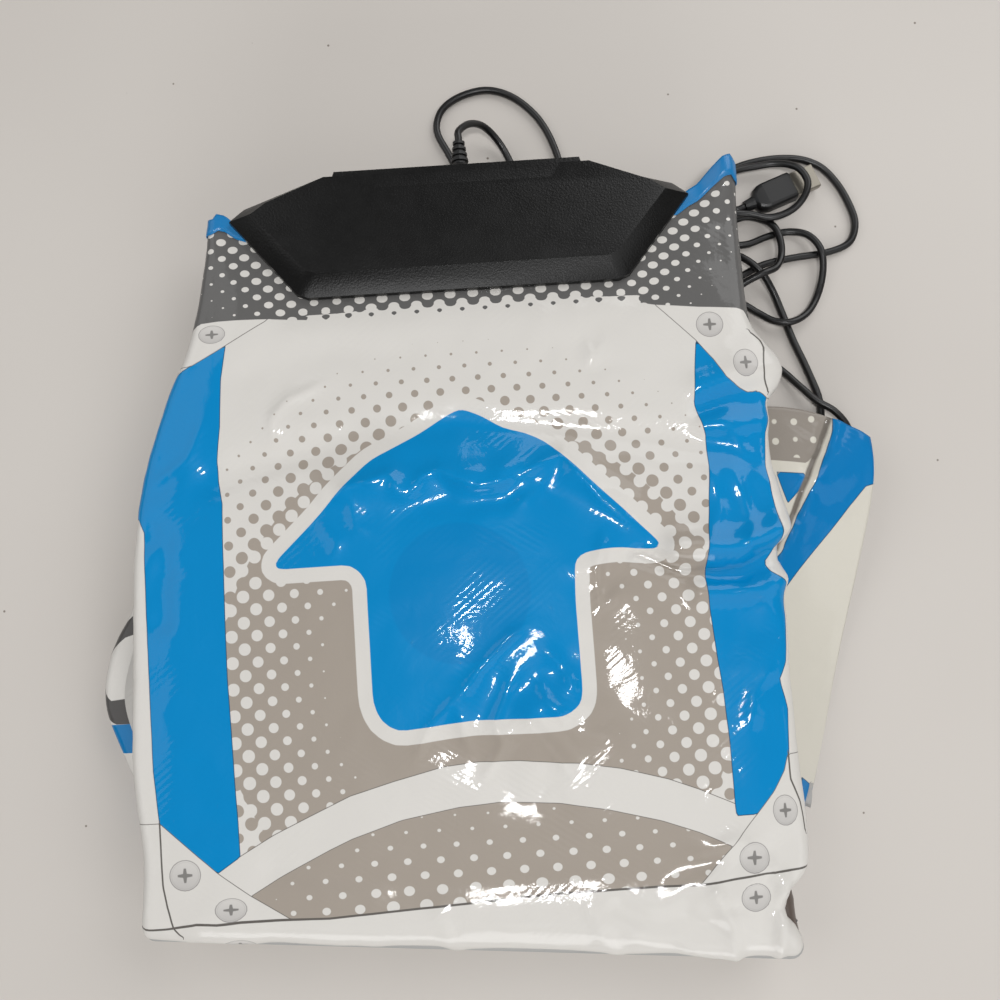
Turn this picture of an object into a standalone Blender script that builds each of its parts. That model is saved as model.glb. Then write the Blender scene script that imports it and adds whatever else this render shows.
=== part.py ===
"""Console dance mat, folded into a bundle under its control box.

The mat is folded three columns wide and three rows long. Every row is a G of three plies: the centre
column with its two side columns folded behind it. The rows lie in a zigzag, so that the bottom row and
the middle row join at the rear fold, and the middle row and the top row join at the front fold.
The row with the control box lies on top. Millimetres are turned to metres by MM.
+X is to the right, +Y runs from the player to the control box, +Z is up and the table is z = 0.
"""

import math

import bmesh
import bpy
from mathutils import Matrix, Vector

MM = 0.001

# One ply of the mat, from the printed side inwards
LAYER_GAP = 0.3
COVER_THICK = 0.5
FILM_THICK = 0.2
BACKING_THICK = 0.6
CONTACT_THICK = 0.3
CONTACT_TRAVEL = 1.3
CONTACT_REST = 0.1
FOAM_THICK = CONTACT_THICK + CONTACT_TRAVEL + 2 * CONTACT_REST
PLY_THICK = COVER_THICK + FOAM_THICK + FILM_THICK + BACKING_THICK + 3 * LAYER_GAP
PLY_PITCH = PLY_THICK + LAYER_GAP
COVER_OUT = PLY_THICK / 2
COVER_IN = COVER_OUT - COVER_THICK
FOAM_OUT = COVER_IN - LAYER_GAP
FOAM_IN = FOAM_OUT - FOAM_THICK
FILM_OUT = FOAM_IN - LAYER_GAP
FILM_IN = FILM_OUT - FILM_THICK
BACKING_OUT = -PLY_THICK / 2 + BACKING_THICK
BACKING_IN = -PLY_THICK / 2

# Helper solids reach this far past the face that they cut, and sheets are this fine
CUTTER_OVERLAP = 1.0
ROUND_SIDES = 16
SMALL_ROUND_SIDES = 12
SCREW_SIDES = 14
PAD_SIDES = 28
SMOOTH_SHEET = 35.0
SMOOTH_PART = 30.0
SMOOTH_MOULDED = 40.0

# The folded bundle
FRONT_FOLD_Y = -172.7
FRONT_FOLD_SKEW = math.radians(5.0)
SKEW_REAR_Y = -20.0
REAR_FOLD_Y = 118.3
FOLD_CLEARANCE = 0.3
ROW_LEFT_EDGE = ((-173.0, -160.5), (-135.0, -158.5), (-112.0, -162.0), (-90.0, -171.0), (-60.0, -180.0),
                 (-35.0, -176.0), (-5.0, -163.0), (30.0, -152.0), (84.0, -138.0), (118.0, -129.0))
ROW_RIGHT_EDGE = ((-173.0, 126.5), (-155.0, 126.0), (-125.0, 122.0), (50.0, 122.0), (65.0, 119.0),
                  (90.0, 99.0), (100.0, 97.0), (118.0, 97.0))
ROLL_DEPTH = 14.0
MAT_REAR_Y = 157.0
SIDE_COLUMN_REAR_Y = 117.5
CROWN_HEIGHT = 5.0
CROWN_CENTRE = (-14.0, -12.0)
CROWN_REACH = (118.0, 118.0)
CROWN_FULLNESS = 0.6
CROWN_SLOPE_STEP = 1.0
LEFT_EDGE = ((-173.0, -160.5), (-135.0, -158.0), (-95.0, -161.5), (-45.0, -160.7), (15.0, -158.5),
             (40.0, -154.6), (64.0, -148.0), (84.0, -140.5), (100.0, -133.0), (119.0, -127.5),
             (140.0, -123.0), (157.0, -120.0))
RIGHT_EDGE = ((-173.0, 126.5), (-150.0, 129.5), (-125.0, 131.5), (-73.0, 130.0), (36.0, 130.0),
              (62.0, 131.5), (70.0, 137.0), (79.0, 138.7), (90.0, 132.0), (97.0, 127.0), (111.0, 125.5),
              (157.0, 124.3))
COLUMN_END_GAP = 12.0
COLUMN_MEET_GAP = 2.0
TOP_STEPS = 18
PLY_ARC_STEPS = 6
ROLL_STEPS = 4
ROW_STEPS = 12
REAR_STEPS = 3
INNER_SHEET_SETBACK = 2.0
ROW_STATIONS = (-120.0, -90.0, -60.0, -30.0, 0.0, 25.0, 50.0, 65.0, 78.0, 90.0)
ROW_END_SETBACK = 0.5

# Foam pieces and the pressure contact that each holds
FOAM_INSET = 13.0
FOAM_END = 3.0
FOAM_STATIONS = (-120.0, SKEW_REAR_Y, 50.0, 84.0)
PAD_RADIUS = 32.0
PAD_CLEARANCE = 1.0
PAD_Y = -16.0
TOP_PAD_X = -13.0

# Side flap of the mat, which lies loose on the table at the right
FLAP_INNER_X = 123.0
FLAP_FRONT_Y = -122.0
FLAP_REAR_Y = 62.0
FLAP_REAR_CUT = 17.0
FLAP_EDGE = ((-124.0, 137.0), (-111.0, 143.0), (-50.0, 161.0), (10.0, 177.0), (30.0, 180.5), (47.0, 180.0),
             (64.0, 176.0))
FLAP_RAISED_DROP = 4.0
FLAP_SAG = 0.25
FLAP_CORNER_POWER = 2.5
FLAP_LIES_Y = -70.0
FLAP_LIFT_RUN = 110.0
FLAP_COLUMNS = 8
FLAP_ROWS = 10
FLAP_SLOPE_STEP = 0.01

# Control box
BOX_X = -4.0
BOX_FRONT_Y = 121.5
BOX_FRONT_HALF = 76.0
BOX_TIP_Y = 160.0
BOX_TIP_HALF = 106.0
BOX_TIP_CUT = 7.0
BOX_REAR_Y = 177.0
BOX_REAR_HALF = 61.0
RECESS_Y = 170.5
RECESS_HALF = 43.0
TRAY_REAR_Y = 182.0
TRAY_REAR_HALF = 57.0
DECK_FRONT_Y = 167.0
BOX_TOP_Z = 50.0
BOX_SHOULDER_Z = 42.0
BOX_BOTTOM_Z = 18.0
BEVEL_WIDTH = 9.0
BOX_FRONT_CORNER = (5.0, 2.0)
BOX_TIP_RISE = 5.5
RECESS_FLARE = 4.0
FRONT_INSET_SHARE = 0.6
TIP_INSET_SHARE = 1.35
REAR_INSET_SHARE = 0.4
REAR_BEVEL_SHARE = 0.2
SHOULDER_INSET = 0.4
TRAY_SIDE_INSET = 6.0
TRAY_EDGE_INSET = 1.0
TRAY_TIP_CUT = 12.0
TRAY_TIP_RISE = 4.0
TRAY_WALL_FLARE = 2.0
TRAY_FOOT_INSET = 2.5
TRAY_FOOT_RISE = 3.0
TRAY_INNER_DRAFT = 0.6
REAR_WALL_START = 5.0
WALL = 2.0
SLOT_CLEARANCE = 0.4
BINDING_THICK = 0.5
BINDING_DEPTH = 9.0
BINDING_GAP = 0.3
BINDING_END_GAP = 4.0
BINDING_INSET = COVER_OUT + BINDING_END_GAP

# Screws of the control box
SCREW_X = 52.0
SCREW_FRONT_INSET = 12.5
SCREW_REAR_INSET = 14.5
SCREW_RADIUS = 1.5
SCREW_HEAD_RADIUS = 2.8
SCREW_HEAD_HEIGHT = 2.0
SCREW_CLEARANCE = 0.3
BOSS_RADIUS = 4.0
BOSS_GAP = 0.3
UPPER_BOSS_RADIUS = 3.4
BOSS_MEET_DEPTH = 3.0
PILOT_END = 1.0
SCREW_END = 2.0
SCREW_HEAD_RECESS = 0.2
MAT_HOLE_CLEARANCE = 1.0

# Circuit board
BOARD_WIDTH = 84.0
BOARD_DEPTH = 26.0
BOARD_THICK = 1.6
BOARD_Y = 152.0
BOARD_POST_HEIGHT = 4.0
BOARD_POST_RADIUS = 3.0
TAIL_WIDTH = 24.0
TAIL_X = -20.0
TAIL_Y = 8.0
TAIL_CONNECTOR_SIZE = (28.0, 4.6)
TAIL_CONNECTOR_HEIGHT = 3.6
TAIL_START = 8.0
TAIL_START_DROP = 1.2
TAIL_BENDS = ((-12.0, -0.4), (-9.0, -0.8))
BOARD_POST_INSET = 4.0
BOARD_HOLE_RADIUS = 1.4
BOARD_SCREW_RADIUS = 0.8
BOARD_SCREW_HEAD_RADIUS = 2.2
BOARD_SCREW_HEAD_TOP = 1.8
BOARD_SCREW_LENGTH = 2.6
BOARD_PILOT_RADIUS = 1.1
BOARD_PILOT_FLOOR = 0.6
SOLDER_GAP = 0.2
CHIP_PLACE = (-2.0, -3.0)
CHIP_SIZE = (17.0, 7.5, 2.2)
CRYSTAL_PLACE = (-18.0, -3.0)
CRYSTAL_SIZE = (10.5, 4.4, 3.4)
CAPACITOR_PLACES = ((16.0, -3.0), (22.5, -3.0))
CAPACITOR_RADIUS = 2.0
CAPACITOR_HEIGHT = 3.6

# Lead and plug
CORD_RADIUS = 1.75
CORD_RESOLUTION = 2
WIRE_RADIUS = 0.45
WIRE_PITCH = 1.3
WIRE_SPREAD = 2.4
WIRE_STRAIGHT = 1.2
WIRE_LANDING_INSET = 2.5
WIRE_ARCH = (1.5, 2.6)
WIRE_DROP_RISE = 1.2
WIRE_SPAN_STEPS = 3
SHEATH_END_DEPTH = 7.0
TOUCH_GAP = 0.3
RELIEF_X = -2.5
RELIEF_Z = 26.0
RELIEF_LENGTH = 17.0
RELIEF_RADIUS = 5.5
RELIEF_TIP_RADIUS = 2.9
RELIEF_RIBS = 4
RELIEF_COLLAR = 3.0
RELIEF_NECK = (5.0, 1.4)
RELIEF_RIB_START = 5.5
RELIEF_GROOVE_DEPTH = 0.9
RELIEF_RIB_PROFILE = (0.35, 0.45, 0.9)
LEAD_HOLE_CLEARANCE = 0.6
LEAD_HOLE_REACH = (-6.0, 4.0)
LEAD_SPAN_STEPS = 24
LEAD_SHORTEST_STEP = 3.6 * CORD_RADIUS
LEAD_LONGEST_STEP = 14.0 * CORD_RADIUS
LEAD_STEP_TURN = math.radians(24.0)
LEAD_NEIGHBOUR_REACH = 12.0 * CORD_RADIUS
LEAD_GAP_SAMPLES = 4
PLUG_ANGLE = math.radians(20.5)
PLUG_REAR = (136.3, 166.4)
PLUG_LENGTH = 26.0
PLUG_WIDTH = 14.0
PLUG_HEIGHT = 8.0
PLUG_CORNER = 2.2
PLUG_FACE_CHAMFER = 0.8
PLUG_NECK_SECTIONS = ((0.0, 5.2, 5.2, 2.59), (5.0, 6.4, 5.8, 2.8), (6.5, 11.0, 7.2, 2.8),
                      (9.0, 13.4, 7.7, 2.4))
PLUG_SHOULDER = 11.0
CORNER_STEPS = 3
PLUG_FLOOR_GAP = 0.3
SHELL_WIDTH = 12.0
SHELL_HEIGHT = 4.5
SHELL_LENGTH = 12.0
SHELL_WALL = 0.3
SHELL_CORNER = 0.7
SHELL_INNER_CORNER = 0.45
TONGUE_HEIGHT = 1.7
TONGUE_SETBACK = 0.6
PLUG_CONTACTS = (-3.5, -7.0 / 6, 7.0 / 6, 3.5)
PLUG_CONTACT_WIDTH = 1.0
PLUG_CONTACT_HEIGHT = 0.25
PLUG_CONTACT_SETBACK = (1.0, 3.0)
PLUG_CONTACT_GAP = 0.1

# Heights that follow from the plies
LOWEST_PLY_Z = PLY_THICK / 2
FRONT_FOLD_Z = LOWEST_PLY_Z + 5.5 * PLY_PITCH
BOTTOM_CENTRE_Z = LOWEST_PLY_Z + 2 * PLY_PITCH
TOP_CENTRE_Z = LOWEST_PLY_Z + 8 * PLY_PITCH
FLAP_INNER_Z = TOP_CENTRE_Z - 3 * PLY_PITCH + LAYER_GAP - TOUCH_GAP
SLOT_TOP_Z = TOP_CENTRE_Z + COVER_OUT + BINDING_GAP + BINDING_THICK + SLOT_CLEARANCE
SLOT_BOTTOM_Z = TOP_CENTRE_Z - COVER_OUT - BINDING_GAP - BINDING_THICK - SLOT_CLEARANCE

# Route of the lead, from the strain relief to the plug: free rear loop, run under the box, side loops
LEAD_ROUTE = (
    (-2.5, 204.0, 25.5), (3.0, 210.5, 20.0), (10.0, 212.5, 12.0), (17.0, 207.0, 6.0), (23.0, 195.0, 3.0),
    (26.5, 180.0, 2.0), (31.0, 167.5, 2.0), (39.0, 162.5, 2.0), (46.5, 169.0, 2.0), (48.5, 182.0, 2.0),
    (47.0, 195.0, 2.0), (42.5, 210.5, 2.0), (36.0, 222.0, 2.0), (24.5, 232.5, 2.0), (12.0, 236.5, 2.0),
    (-3.0, 233.0, 2.0), (-11.0, 226.5, 2.0), (-13.5, 217.0, 2.0), (-7.5, 202.5, 2.0), (-2.0, 188.0, 2.0),
    (1.0, 173.0, 2.0), (-3.0, 161.0, 2.0), (-15.0, 154.0, 2.0), (-40.0, 152.0, 2.0), (-70.0, 151.0, 2.0),
    (-92.0, 148.0, 2.0), (-101.0, 139.5, 2.0), (-93.0, 130.5, 2.0), (-70.0, 127.5, 2.0), (-30.0, 128.0, 2.0),
    (20.0, 132.0, 2.0), (62.0, 141.0, 2.0), (92.0, 158.0, 2.0), (113.0, 177.0, 2.0), (133.5, 187.5, 2.0),
    (146.5, 190.5, 2.0), (158.0, 191.0, 2.0), (167.5, 189.6, 2.0), (176.0, 185.4, 2.0), (182.5, 177.8, 2.0),
    (188.0, 166.5, 2.0), (190.5, 155.0, 2.0), (187.0, 146.0, 2.0), (177.5, 141.8, 2.0), (157.5, 139.5, 2.0),
    (143.0, 137.0, 2.0), (134.0, 133.0, 2.0), (125.5, 129.0, 2.0), (117.0, 129.8, 2.0), (112.3, 136.5, 2.0),
    (117.0, 143.4, 2.0), (126.0, 143.8, 3.2), (134.0, 139.1, 5.8), (140.8, 132.0, 6.4),
    (146.4, 123.0, 3.4), (150.3, 112.1, 2.0), (154.4, 98.3, 2.0), (160.0, 82.9, 2.0),
    (164.5, 67.0, 2.0), (163.8, 54.0, 2.0), (162.0, 44.5, 2.0), (165.6, 35.6, 2.0),
    (173.6, 35.6, 2.0), (177.2, 44.0, 3.0), (175.6, 53.5, 5.0), (169.6, 61.0, 6.8),
    (162.0, 66.5, 6.4), (154.5, 75.0, 4.4), (147.0, 84.0, 2.0), (136.0, 92.5, 2.0),
    (125.5, 100.0, 2.0), (120.5, 108.5, 2.0), (123.0, 116.3, 2.0), (130.0, 118.2, 2.2),
    (138.0, 112.8, 3.0), (145.2, 107.6, 5.0), (152.7, 106.2, 6.4), (161.4, 110.3, 4.4),
    (167.9, 119.1, 3.0), (171.5, 131.5, 4.8), (170.8, 142.0, 6.4), (165.6, 150.2, 4.2),
    (157.1, 153.0, 2.0), (147.0, 151.3, 2.0), (135.5, 147.8, 2.0), (127.6, 148.9, 2.2),
    (123.2, 154.8, 5.2), (127.8, 161.2, 7.8), (136.5, 161.4, 7.6), (147.2, 158.6, 8.2),
    (157.6, 161.2, 9.4), (163.6, 166.6, 11.0), (166.2, 174.0, 11.6), (163.0, 181.2, 11.0),
    (158.0, 184.8, 9.0), (151.5, 186.4, 7.0), (143.0, 185.9, 6.2), (132.7, 184.4, 6.2), (124.8, 180.6, 7.2),
    (119.8, 174.0, 7.4), (118.6, 167.0, 6.0), (121.5, 161.8, 3.6), (129.0, 160.4, 2.4),
    (136.8, 162.0, 2.0), (143.5, 160.4, 2.4), (149.2, 155.2, 5.6), (151.6, 147.6, 6.4),
    (151.4, 139.8, 6.4), (147.8, 133.4, 8.6), (141.6, 130.4, 10.8), (134.0, 127.4, 9.8),
    (125.5, 123.2, 8.0), (117.0, 121.2, 6.0), (110.0, 124.2, 3.4), (106.8, 132.0, 2.0), (106.2, 148.0, 2.0),
    (107.0, 161.5, 2.0), (111.6, 170.0, 2.0), (118.5, 173.6, 2.2), (124.2, 171.4, 2.8), (127.2, 167.6, 3.5),
    (129.9, 165.5, 4.0),
)


def clear_scene():
    for item in list(bpy.data.objects):
        bpy.data.objects.remove(item, do_unlink=True)


def material(name, colour, roughness=0.5, metallic=0.0):
    existing = bpy.data.materials.get(name)
    if existing:
        return existing
    made = bpy.data.materials.new(name)
    made.use_nodes = True
    shader = made.node_tree.nodes["Principled BSDF"]
    shader.inputs["Base Color"].default_value = (*colour, 1.0)
    shader.inputs["Roughness"].default_value = roughness
    shader.inputs["Metallic"].default_value = metallic
    return made


def finish_object(name, bm, look, origin=(0.0, 0.0, 0.0), smooth=None):
    """Make an object from a bmesh in millimetres, with its origin at a point in millimetres."""
    bmesh.ops.recalc_face_normals(bm, faces=bm.faces)
    bmesh.ops.translate(bm, verts=bm.verts, vec=-Vector(origin))
    bmesh.ops.scale(bm, verts=bm.verts, vec=(MM, MM, MM))
    mesh = bpy.data.meshes.new(name)
    bm.to_mesh(mesh)
    bm.free()
    if smooth is not None:
        mesh.shade_smooth()
        mesh.set_sharp_from_angle(angle=math.radians(smooth))
    made = bpy.data.objects.new(name, mesh)
    made.location = Vector(origin) * MM
    mesh.materials.append(look)
    bpy.context.scene.collection.objects.link(made)
    return made


def cut(target, cutter):
    """Subtract a cutter from an object, and keep the cutter out of the build."""
    cutter.hide_render = True
    cutter.display_type = "WIRE"
    modifier = target.modifiers.new("cut", "BOOLEAN")
    modifier.operation = "DIFFERENCE"
    modifier.solver = "EXACT"
    modifier.object = cutter


def join(target, added):
    """Fuse a helper solid to an object, and keep the helper out of the build."""
    added.hide_render = True
    added.display_type = "WIRE"
    modifier = target.modifiers.new("join", "BOOLEAN")
    modifier.operation = "UNION"
    modifier.solver = "EXACT"
    modifier.object = added


def add_loop(bm, points):
    return [bm.verts.new(point) for point in points]


def loft(bm, rings, closed=False):
    """Bridge rings of equal count. Open lofts get an end face at each end, closed ones join up."""
    loops = [add_loop(bm, ring) for ring in rings]
    count = len(loops[0])
    pairs = list(zip(loops, loops[1:]))
    if closed:
        pairs.append((loops[-1], loops[0]))
    for lower, upper in pairs:
        for i in range(count):
            j = (i + 1) % count
            bm.faces.new((lower[i], lower[j], upper[j], upper[i]))
    if not closed:
        bm.faces.new(loops[0])
        bm.faces.new(reversed(loops[-1]))


def box_solid(bm, low, high):
    x0, y0, z0 = low
    x1, y1, z1 = high
    ring = ((x0, y0), (x1, y0), (x1, y1), (x0, y1))
    loft(bm, [[(x, y, z0) for x, y in ring], [(x, y, z1) for x, y in ring]])


def circle(radius, centre=(0.0, 0.0), count=20):
    return [(centre[0] + radius * math.cos(2 * math.pi * i / count),
             centre[1] + radius * math.sin(2 * math.pi * i / count)) for i in range(count)]


def post(bm, centre, radius, z0, z1, count=ROUND_SIDES):
    ring = circle(radius, centre, count)
    loft(bm, [[(x, y, z0) for x, y in ring], [(x, y, z1) for x, y in ring]])


def interpolate(table, value):
    """Smooth value between the listed pairs, by a cubic through neighbouring points."""
    if value <= table[0][0]:
        return table[0][1]
    if value >= table[-1][0]:
        return table[-1][1]
    for k in range(len(table) - 1):
        if table[k][0] <= value <= table[k + 1][0]:
            break
    x0, y0 = table[k]
    x1, y1 = table[k + 1]
    before = table[max(k - 1, 0)]
    after = table[min(k + 2, len(table) - 1)]
    slope0 = (y1 - before[1]) / (x1 - before[0])
    slope1 = (after[1] - y0) / (after[0] - x0)
    width = x1 - x0
    t = (value - x0) / width
    return ((2 * t ** 3 - 3 * t ** 2 + 1) * y0 + (t ** 3 - 2 * t ** 2 + t) * width * slope0
            + (3 * t ** 2 - 2 * t ** 3) * y1 + (t ** 3 - t ** 2) * width * slope1)


def steps(start, end, count):
    return [start + (end - start) * i / count for i in range(count + 1)]


def crown(x, y):
    """Height that the air in the top panel lifts its cover."""
    u = (x - CROWN_CENTRE[0]) / CROWN_REACH[0]
    v = (y - CROWN_CENTRE[1]) / CROWN_REACH[1]
    if abs(u) >= 1 or abs(v) >= 1:
        return 0.0
    along = (math.cos(math.pi * v / 2) ** 2) ** CROWN_FULLNESS
    return CROWN_HEIGHT * (math.cos(math.pi * u / 2) ** 2) * along


def ply_line(left, right, centre_z, top_count, arc_count):
    """Middle line of one row's three plies across the mat: right column, fold, centre, fold, left column.

    Each point is (x, z, outward x, outward z, on the centre ply).
    """
    wide_arc = PLY_PITCH
    tight_arc = PLY_PITCH / 2
    right_centre = right - wide_arc - COVER_OUT
    left_centre = left + tight_arc + COVER_OUT
    line = [(x, centre_z - 2 * wide_arc, 0.0, -1.0, False)
            for x in steps(left + COLUMN_END_GAP, right_centre, 2)[:-1]]
    for angle in steps(-math.pi / 2, math.pi / 2, arc_count):
        nx = math.cos(angle)
        nz = math.sin(angle)
        line.append((right_centre + wide_arc * nx, centre_z - wide_arc + wide_arc * nz, nx, nz, nz > 0.999))
    line += [(x, centre_z, 0.0, 1.0, True) for x in steps(right_centre, left_centre, top_count)[1:-1]]
    for angle in steps(math.pi / 2, 3 * math.pi / 2, arc_count - 2):
        nx = math.cos(angle)
        nz = math.sin(angle)
        line.append((left_centre + tight_arc * nx, centre_z - tight_arc + tight_arc * nz, nx, nz, nz > 0.999))
    line.append((right_centre - COLUMN_MEET_GAP, centre_z - 2 * tight_arc, 0.0, -1.0, False))
    return line


def fold_shift(x, y):
    """How far the skew of the front fold moves a point along the mat. It fades out behind the fold."""
    rolled_y = FRONT_FOLD_Y + FOLD_CLEARANCE + ROLL_DEPTH
    fade = min(max((SKEW_REAR_Y - y) / (SKEW_REAR_Y - rolled_y), 0.0), 1.0)
    return -math.tan(FRONT_FOLD_SKEW) * x * fade


def thick_sheet(bm, grid, outer, inner, used):
    """Solid between two offsets of a grid of (point, normal), over the cells that used() keeps."""
    cache = {}

    def vert(i, j, side):
        key = (i, j, side)
        if key not in cache:
            point, normal = grid[j][i]
            cache[key] = bm.verts.new(point + normal * (outer if side else inner))
        return cache[key]

    rows = len(grid) - 1
    columns = len(grid[0]) - 1
    for j in range(rows):
        for i in range(columns):
            if not used(i, j):
                continue
            corners = ((i, j), (i + 1, j), (i + 1, j + 1), (i, j + 1))
            for half in ((corners[0], corners[1], corners[2]), (corners[0], corners[2], corners[3])):
                bm.faces.new([vert(a, b, True) for a, b in half])
                bm.faces.new([vert(a, b, False) for a, b in reversed(half)])
            neighbours = ((i, j - 1), (i + 1, j), (i, j + 1), (i - 1, j))
            for k, (a, b) in enumerate(neighbours):
                inside = 0 <= a < columns and 0 <= b < rows and used(a, b)
                if not inside:
                    p = corners[k]
                    q = corners[(k + 1) % 4]
                    bm.faces.new((vert(*q, True), vert(*p, True), vert(*p, False), vert(*q, False)))


def row_sheet(name, look, outer, inner, centre_z, flipped, stations, edges, top_count=1, crowned=False,
              roll=False):
    """One sheet of a row: cover, film or backing, wrapped round all three plies.

    A flipped row is mirrored about the front fold's plane, so that its printed centre faces down.
    With roll, the centre ply curves to the front fold in front of the other plies.
    """
    rolled_y = FRONT_FOLD_Y + FOLD_CLEARANCE + ROLL_DEPTH
    drop = centre_z - FRONT_FOLD_Z - COVER_OUT - FOLD_CLEARANCE
    grid = []
    centre_columns = []
    for y in stations:
        left, right = edges(y)
        line = ply_line(left, right, centre_z, top_count, PLY_ARC_STEPS)
        row = []
        for i, (x, z, nx, nz, on_top) in enumerate(line):
            lift = 0.0
            normal = Vector((nx, 0.0, nz))
            if on_top and crowned:
                lift = crown(x, y)
                slope_x = crown(x - CROWN_SLOPE_STEP, y) - crown(x + CROWN_SLOPE_STEP, y)
                slope_y = crown(x, y - CROWN_SLOPE_STEP) - crown(x, y + CROWN_SLOPE_STEP)
                normal = Vector((slope_x, slope_y, 2 * CROWN_SLOPE_STEP)).normalized()
            if on_top and roll and y < rolled_y:
                reach = min((rolled_y - y) / (ROLL_DEPTH - COVER_OUT), 1.0)
                angle = math.asin(reach)
                lift -= drop * (1 - math.cos(angle))
                normal = Vector((0.0, -math.sin(angle), math.cos(angle)))
            row.append((Vector((x, y + fold_shift(x, y), z + lift)), normal))
        grid.append(row)
        centre_columns = [on_top for _, _, _, _, on_top in line]

    def used(i, j):
        on_centre = centre_columns[i] and centre_columns[i + 1]
        middle = (stations[j] + stations[j + 1]) / 2
        if middle < rolled_y:
            return on_centre and roll
        if middle > SIDE_COLUMN_REAR_Y:
            return on_centre
        return True

    bm = bmesh.new()
    thick_sheet(bm, grid, outer, inner, used)
    if flipped:
        mirror = Matrix.Scale(-1, 4, (0, 0, 1))
        bmesh.ops.transform(bm, matrix=Matrix.Translation((0, 0, 2 * FRONT_FOLD_Z)) @ mirror, verts=bm.verts)
    return finish_object(name, bm, look, smooth=SMOOTH_SHEET)


def top_edges(y):
    return interpolate(LEFT_EDGE, y), interpolate(RIGHT_EDGE, y)


def row_edges(y):
    return interpolate(ROW_LEFT_EDGE, y), interpolate(ROW_RIGHT_EDGE, y)


def foam_piece(name, look, outline, centre_z, print_up, hole_centre):
    """One cell's foam spacer, with the hole that its pressure contact works in."""
    sign = 1.0 if print_up else -1.0
    z0 = centre_z + sign * FOAM_IN
    z1 = centre_z + sign * FOAM_OUT
    bm = bmesh.new()
    loft(bm, [[(x, y, z0) for x, y in outline], [(x, y, z1) for x, y in outline]])
    foam = finish_object(name, bm, look)
    if hole_centre:
        bm = bmesh.new()
        post(bm, hole_centre, PAD_RADIUS + PAD_CLEARANCE, min(z0, z1) - CUTTER_OVERLAP,
             max(z0, z1) + CUTTER_OVERLAP, PAD_SIDES)
        cut(foam, finish_object(name + "_hole_cutter", bm, look))
    return foam


def pressure_contact(name, look, centre, centre_z, print_up):
    """Printed disc that a foot presses through the hole in the foam on to the film below."""
    sign = 1.0 if print_up else -1.0
    near = centre_z + sign * (FOAM_OUT - CONTACT_REST)
    far = near - sign * CONTACT_THICK
    bm = bmesh.new()
    post(bm, centre, PAD_RADIUS, min(near, far), max(near, far), PAD_SIDES)
    return finish_object(name, bm, look, origin=(centre[0], centre[1], (near + far) / 2), smooth=SMOOTH_PART)


def box_outline(inset=0.0, bevel=0.0):
    """Plan outline of the upper housing, anticlockwise from the front. The rear edges have a small bevel."""
    side = inset + bevel
    back = inset + REAR_BEVEL_SHARE * bevel
    front_half = BOX_FRONT_HALF - FRONT_INSET_SHARE * side
    tip_half = BOX_TIP_HALF - TIP_INSET_SHARE * side
    right = [(front_half - BOX_FRONT_CORNER[0], BOX_FRONT_Y + side),
             (front_half, BOX_FRONT_Y + side + BOX_FRONT_CORNER[1]),
             (tip_half, BOX_TIP_Y),
             (tip_half - BOX_TIP_CUT, BOX_TIP_Y + BOX_TIP_RISE - REAR_INSET_SHARE * back),
             (BOX_REAR_HALF - REAR_INSET_SHARE * back, BOX_REAR_Y - back),
             (RECESS_HALF + RECESS_FLARE, BOX_REAR_Y - back), (RECESS_HALF, RECESS_Y - back)]
    left = [(-x, y) for x, y in reversed(right)]
    return [(BOX_X + x, y) for x, y in right + left]


def tray_outline(inset=0.0):
    """Plan outline of the lower housing: the wings of the box, and a straight rear wall."""
    front_half = BOX_FRONT_HALF - TRAY_SIDE_INSET - FRONT_INSET_SHARE * inset
    tip_half = BOX_TIP_HALF - TRAY_SIDE_INSET - TIP_INSET_SHARE * inset
    right = [(front_half, BOX_FRONT_Y + TRAY_EDGE_INSET + inset), (tip_half, BOX_TIP_Y - TRAY_EDGE_INSET),
             (BOX_TIP_HALF - TRAY_TIP_CUT - inset, BOX_TIP_Y + TRAY_TIP_RISE - inset / 2),
             (TRAY_REAR_HALF + TRAY_WALL_FLARE - inset / 2, BOX_REAR_Y - TRAY_EDGE_INSET - inset),
             (TRAY_REAR_HALF - inset, TRAY_REAR_Y - inset)]
    left = [(-x, y) for x, y in reversed(right)]
    return [(BOX_X + x, y) for x, y in right + left]


def screw_places():
    for side in (-1, 1):
        yield BOX_X + side * SCREW_X, BOX_FRONT_Y + SCREW_FRONT_INSET
        yield BOX_X + side * SCREW_X, BOX_REAR_Y - SCREW_REAR_INSET


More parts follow.
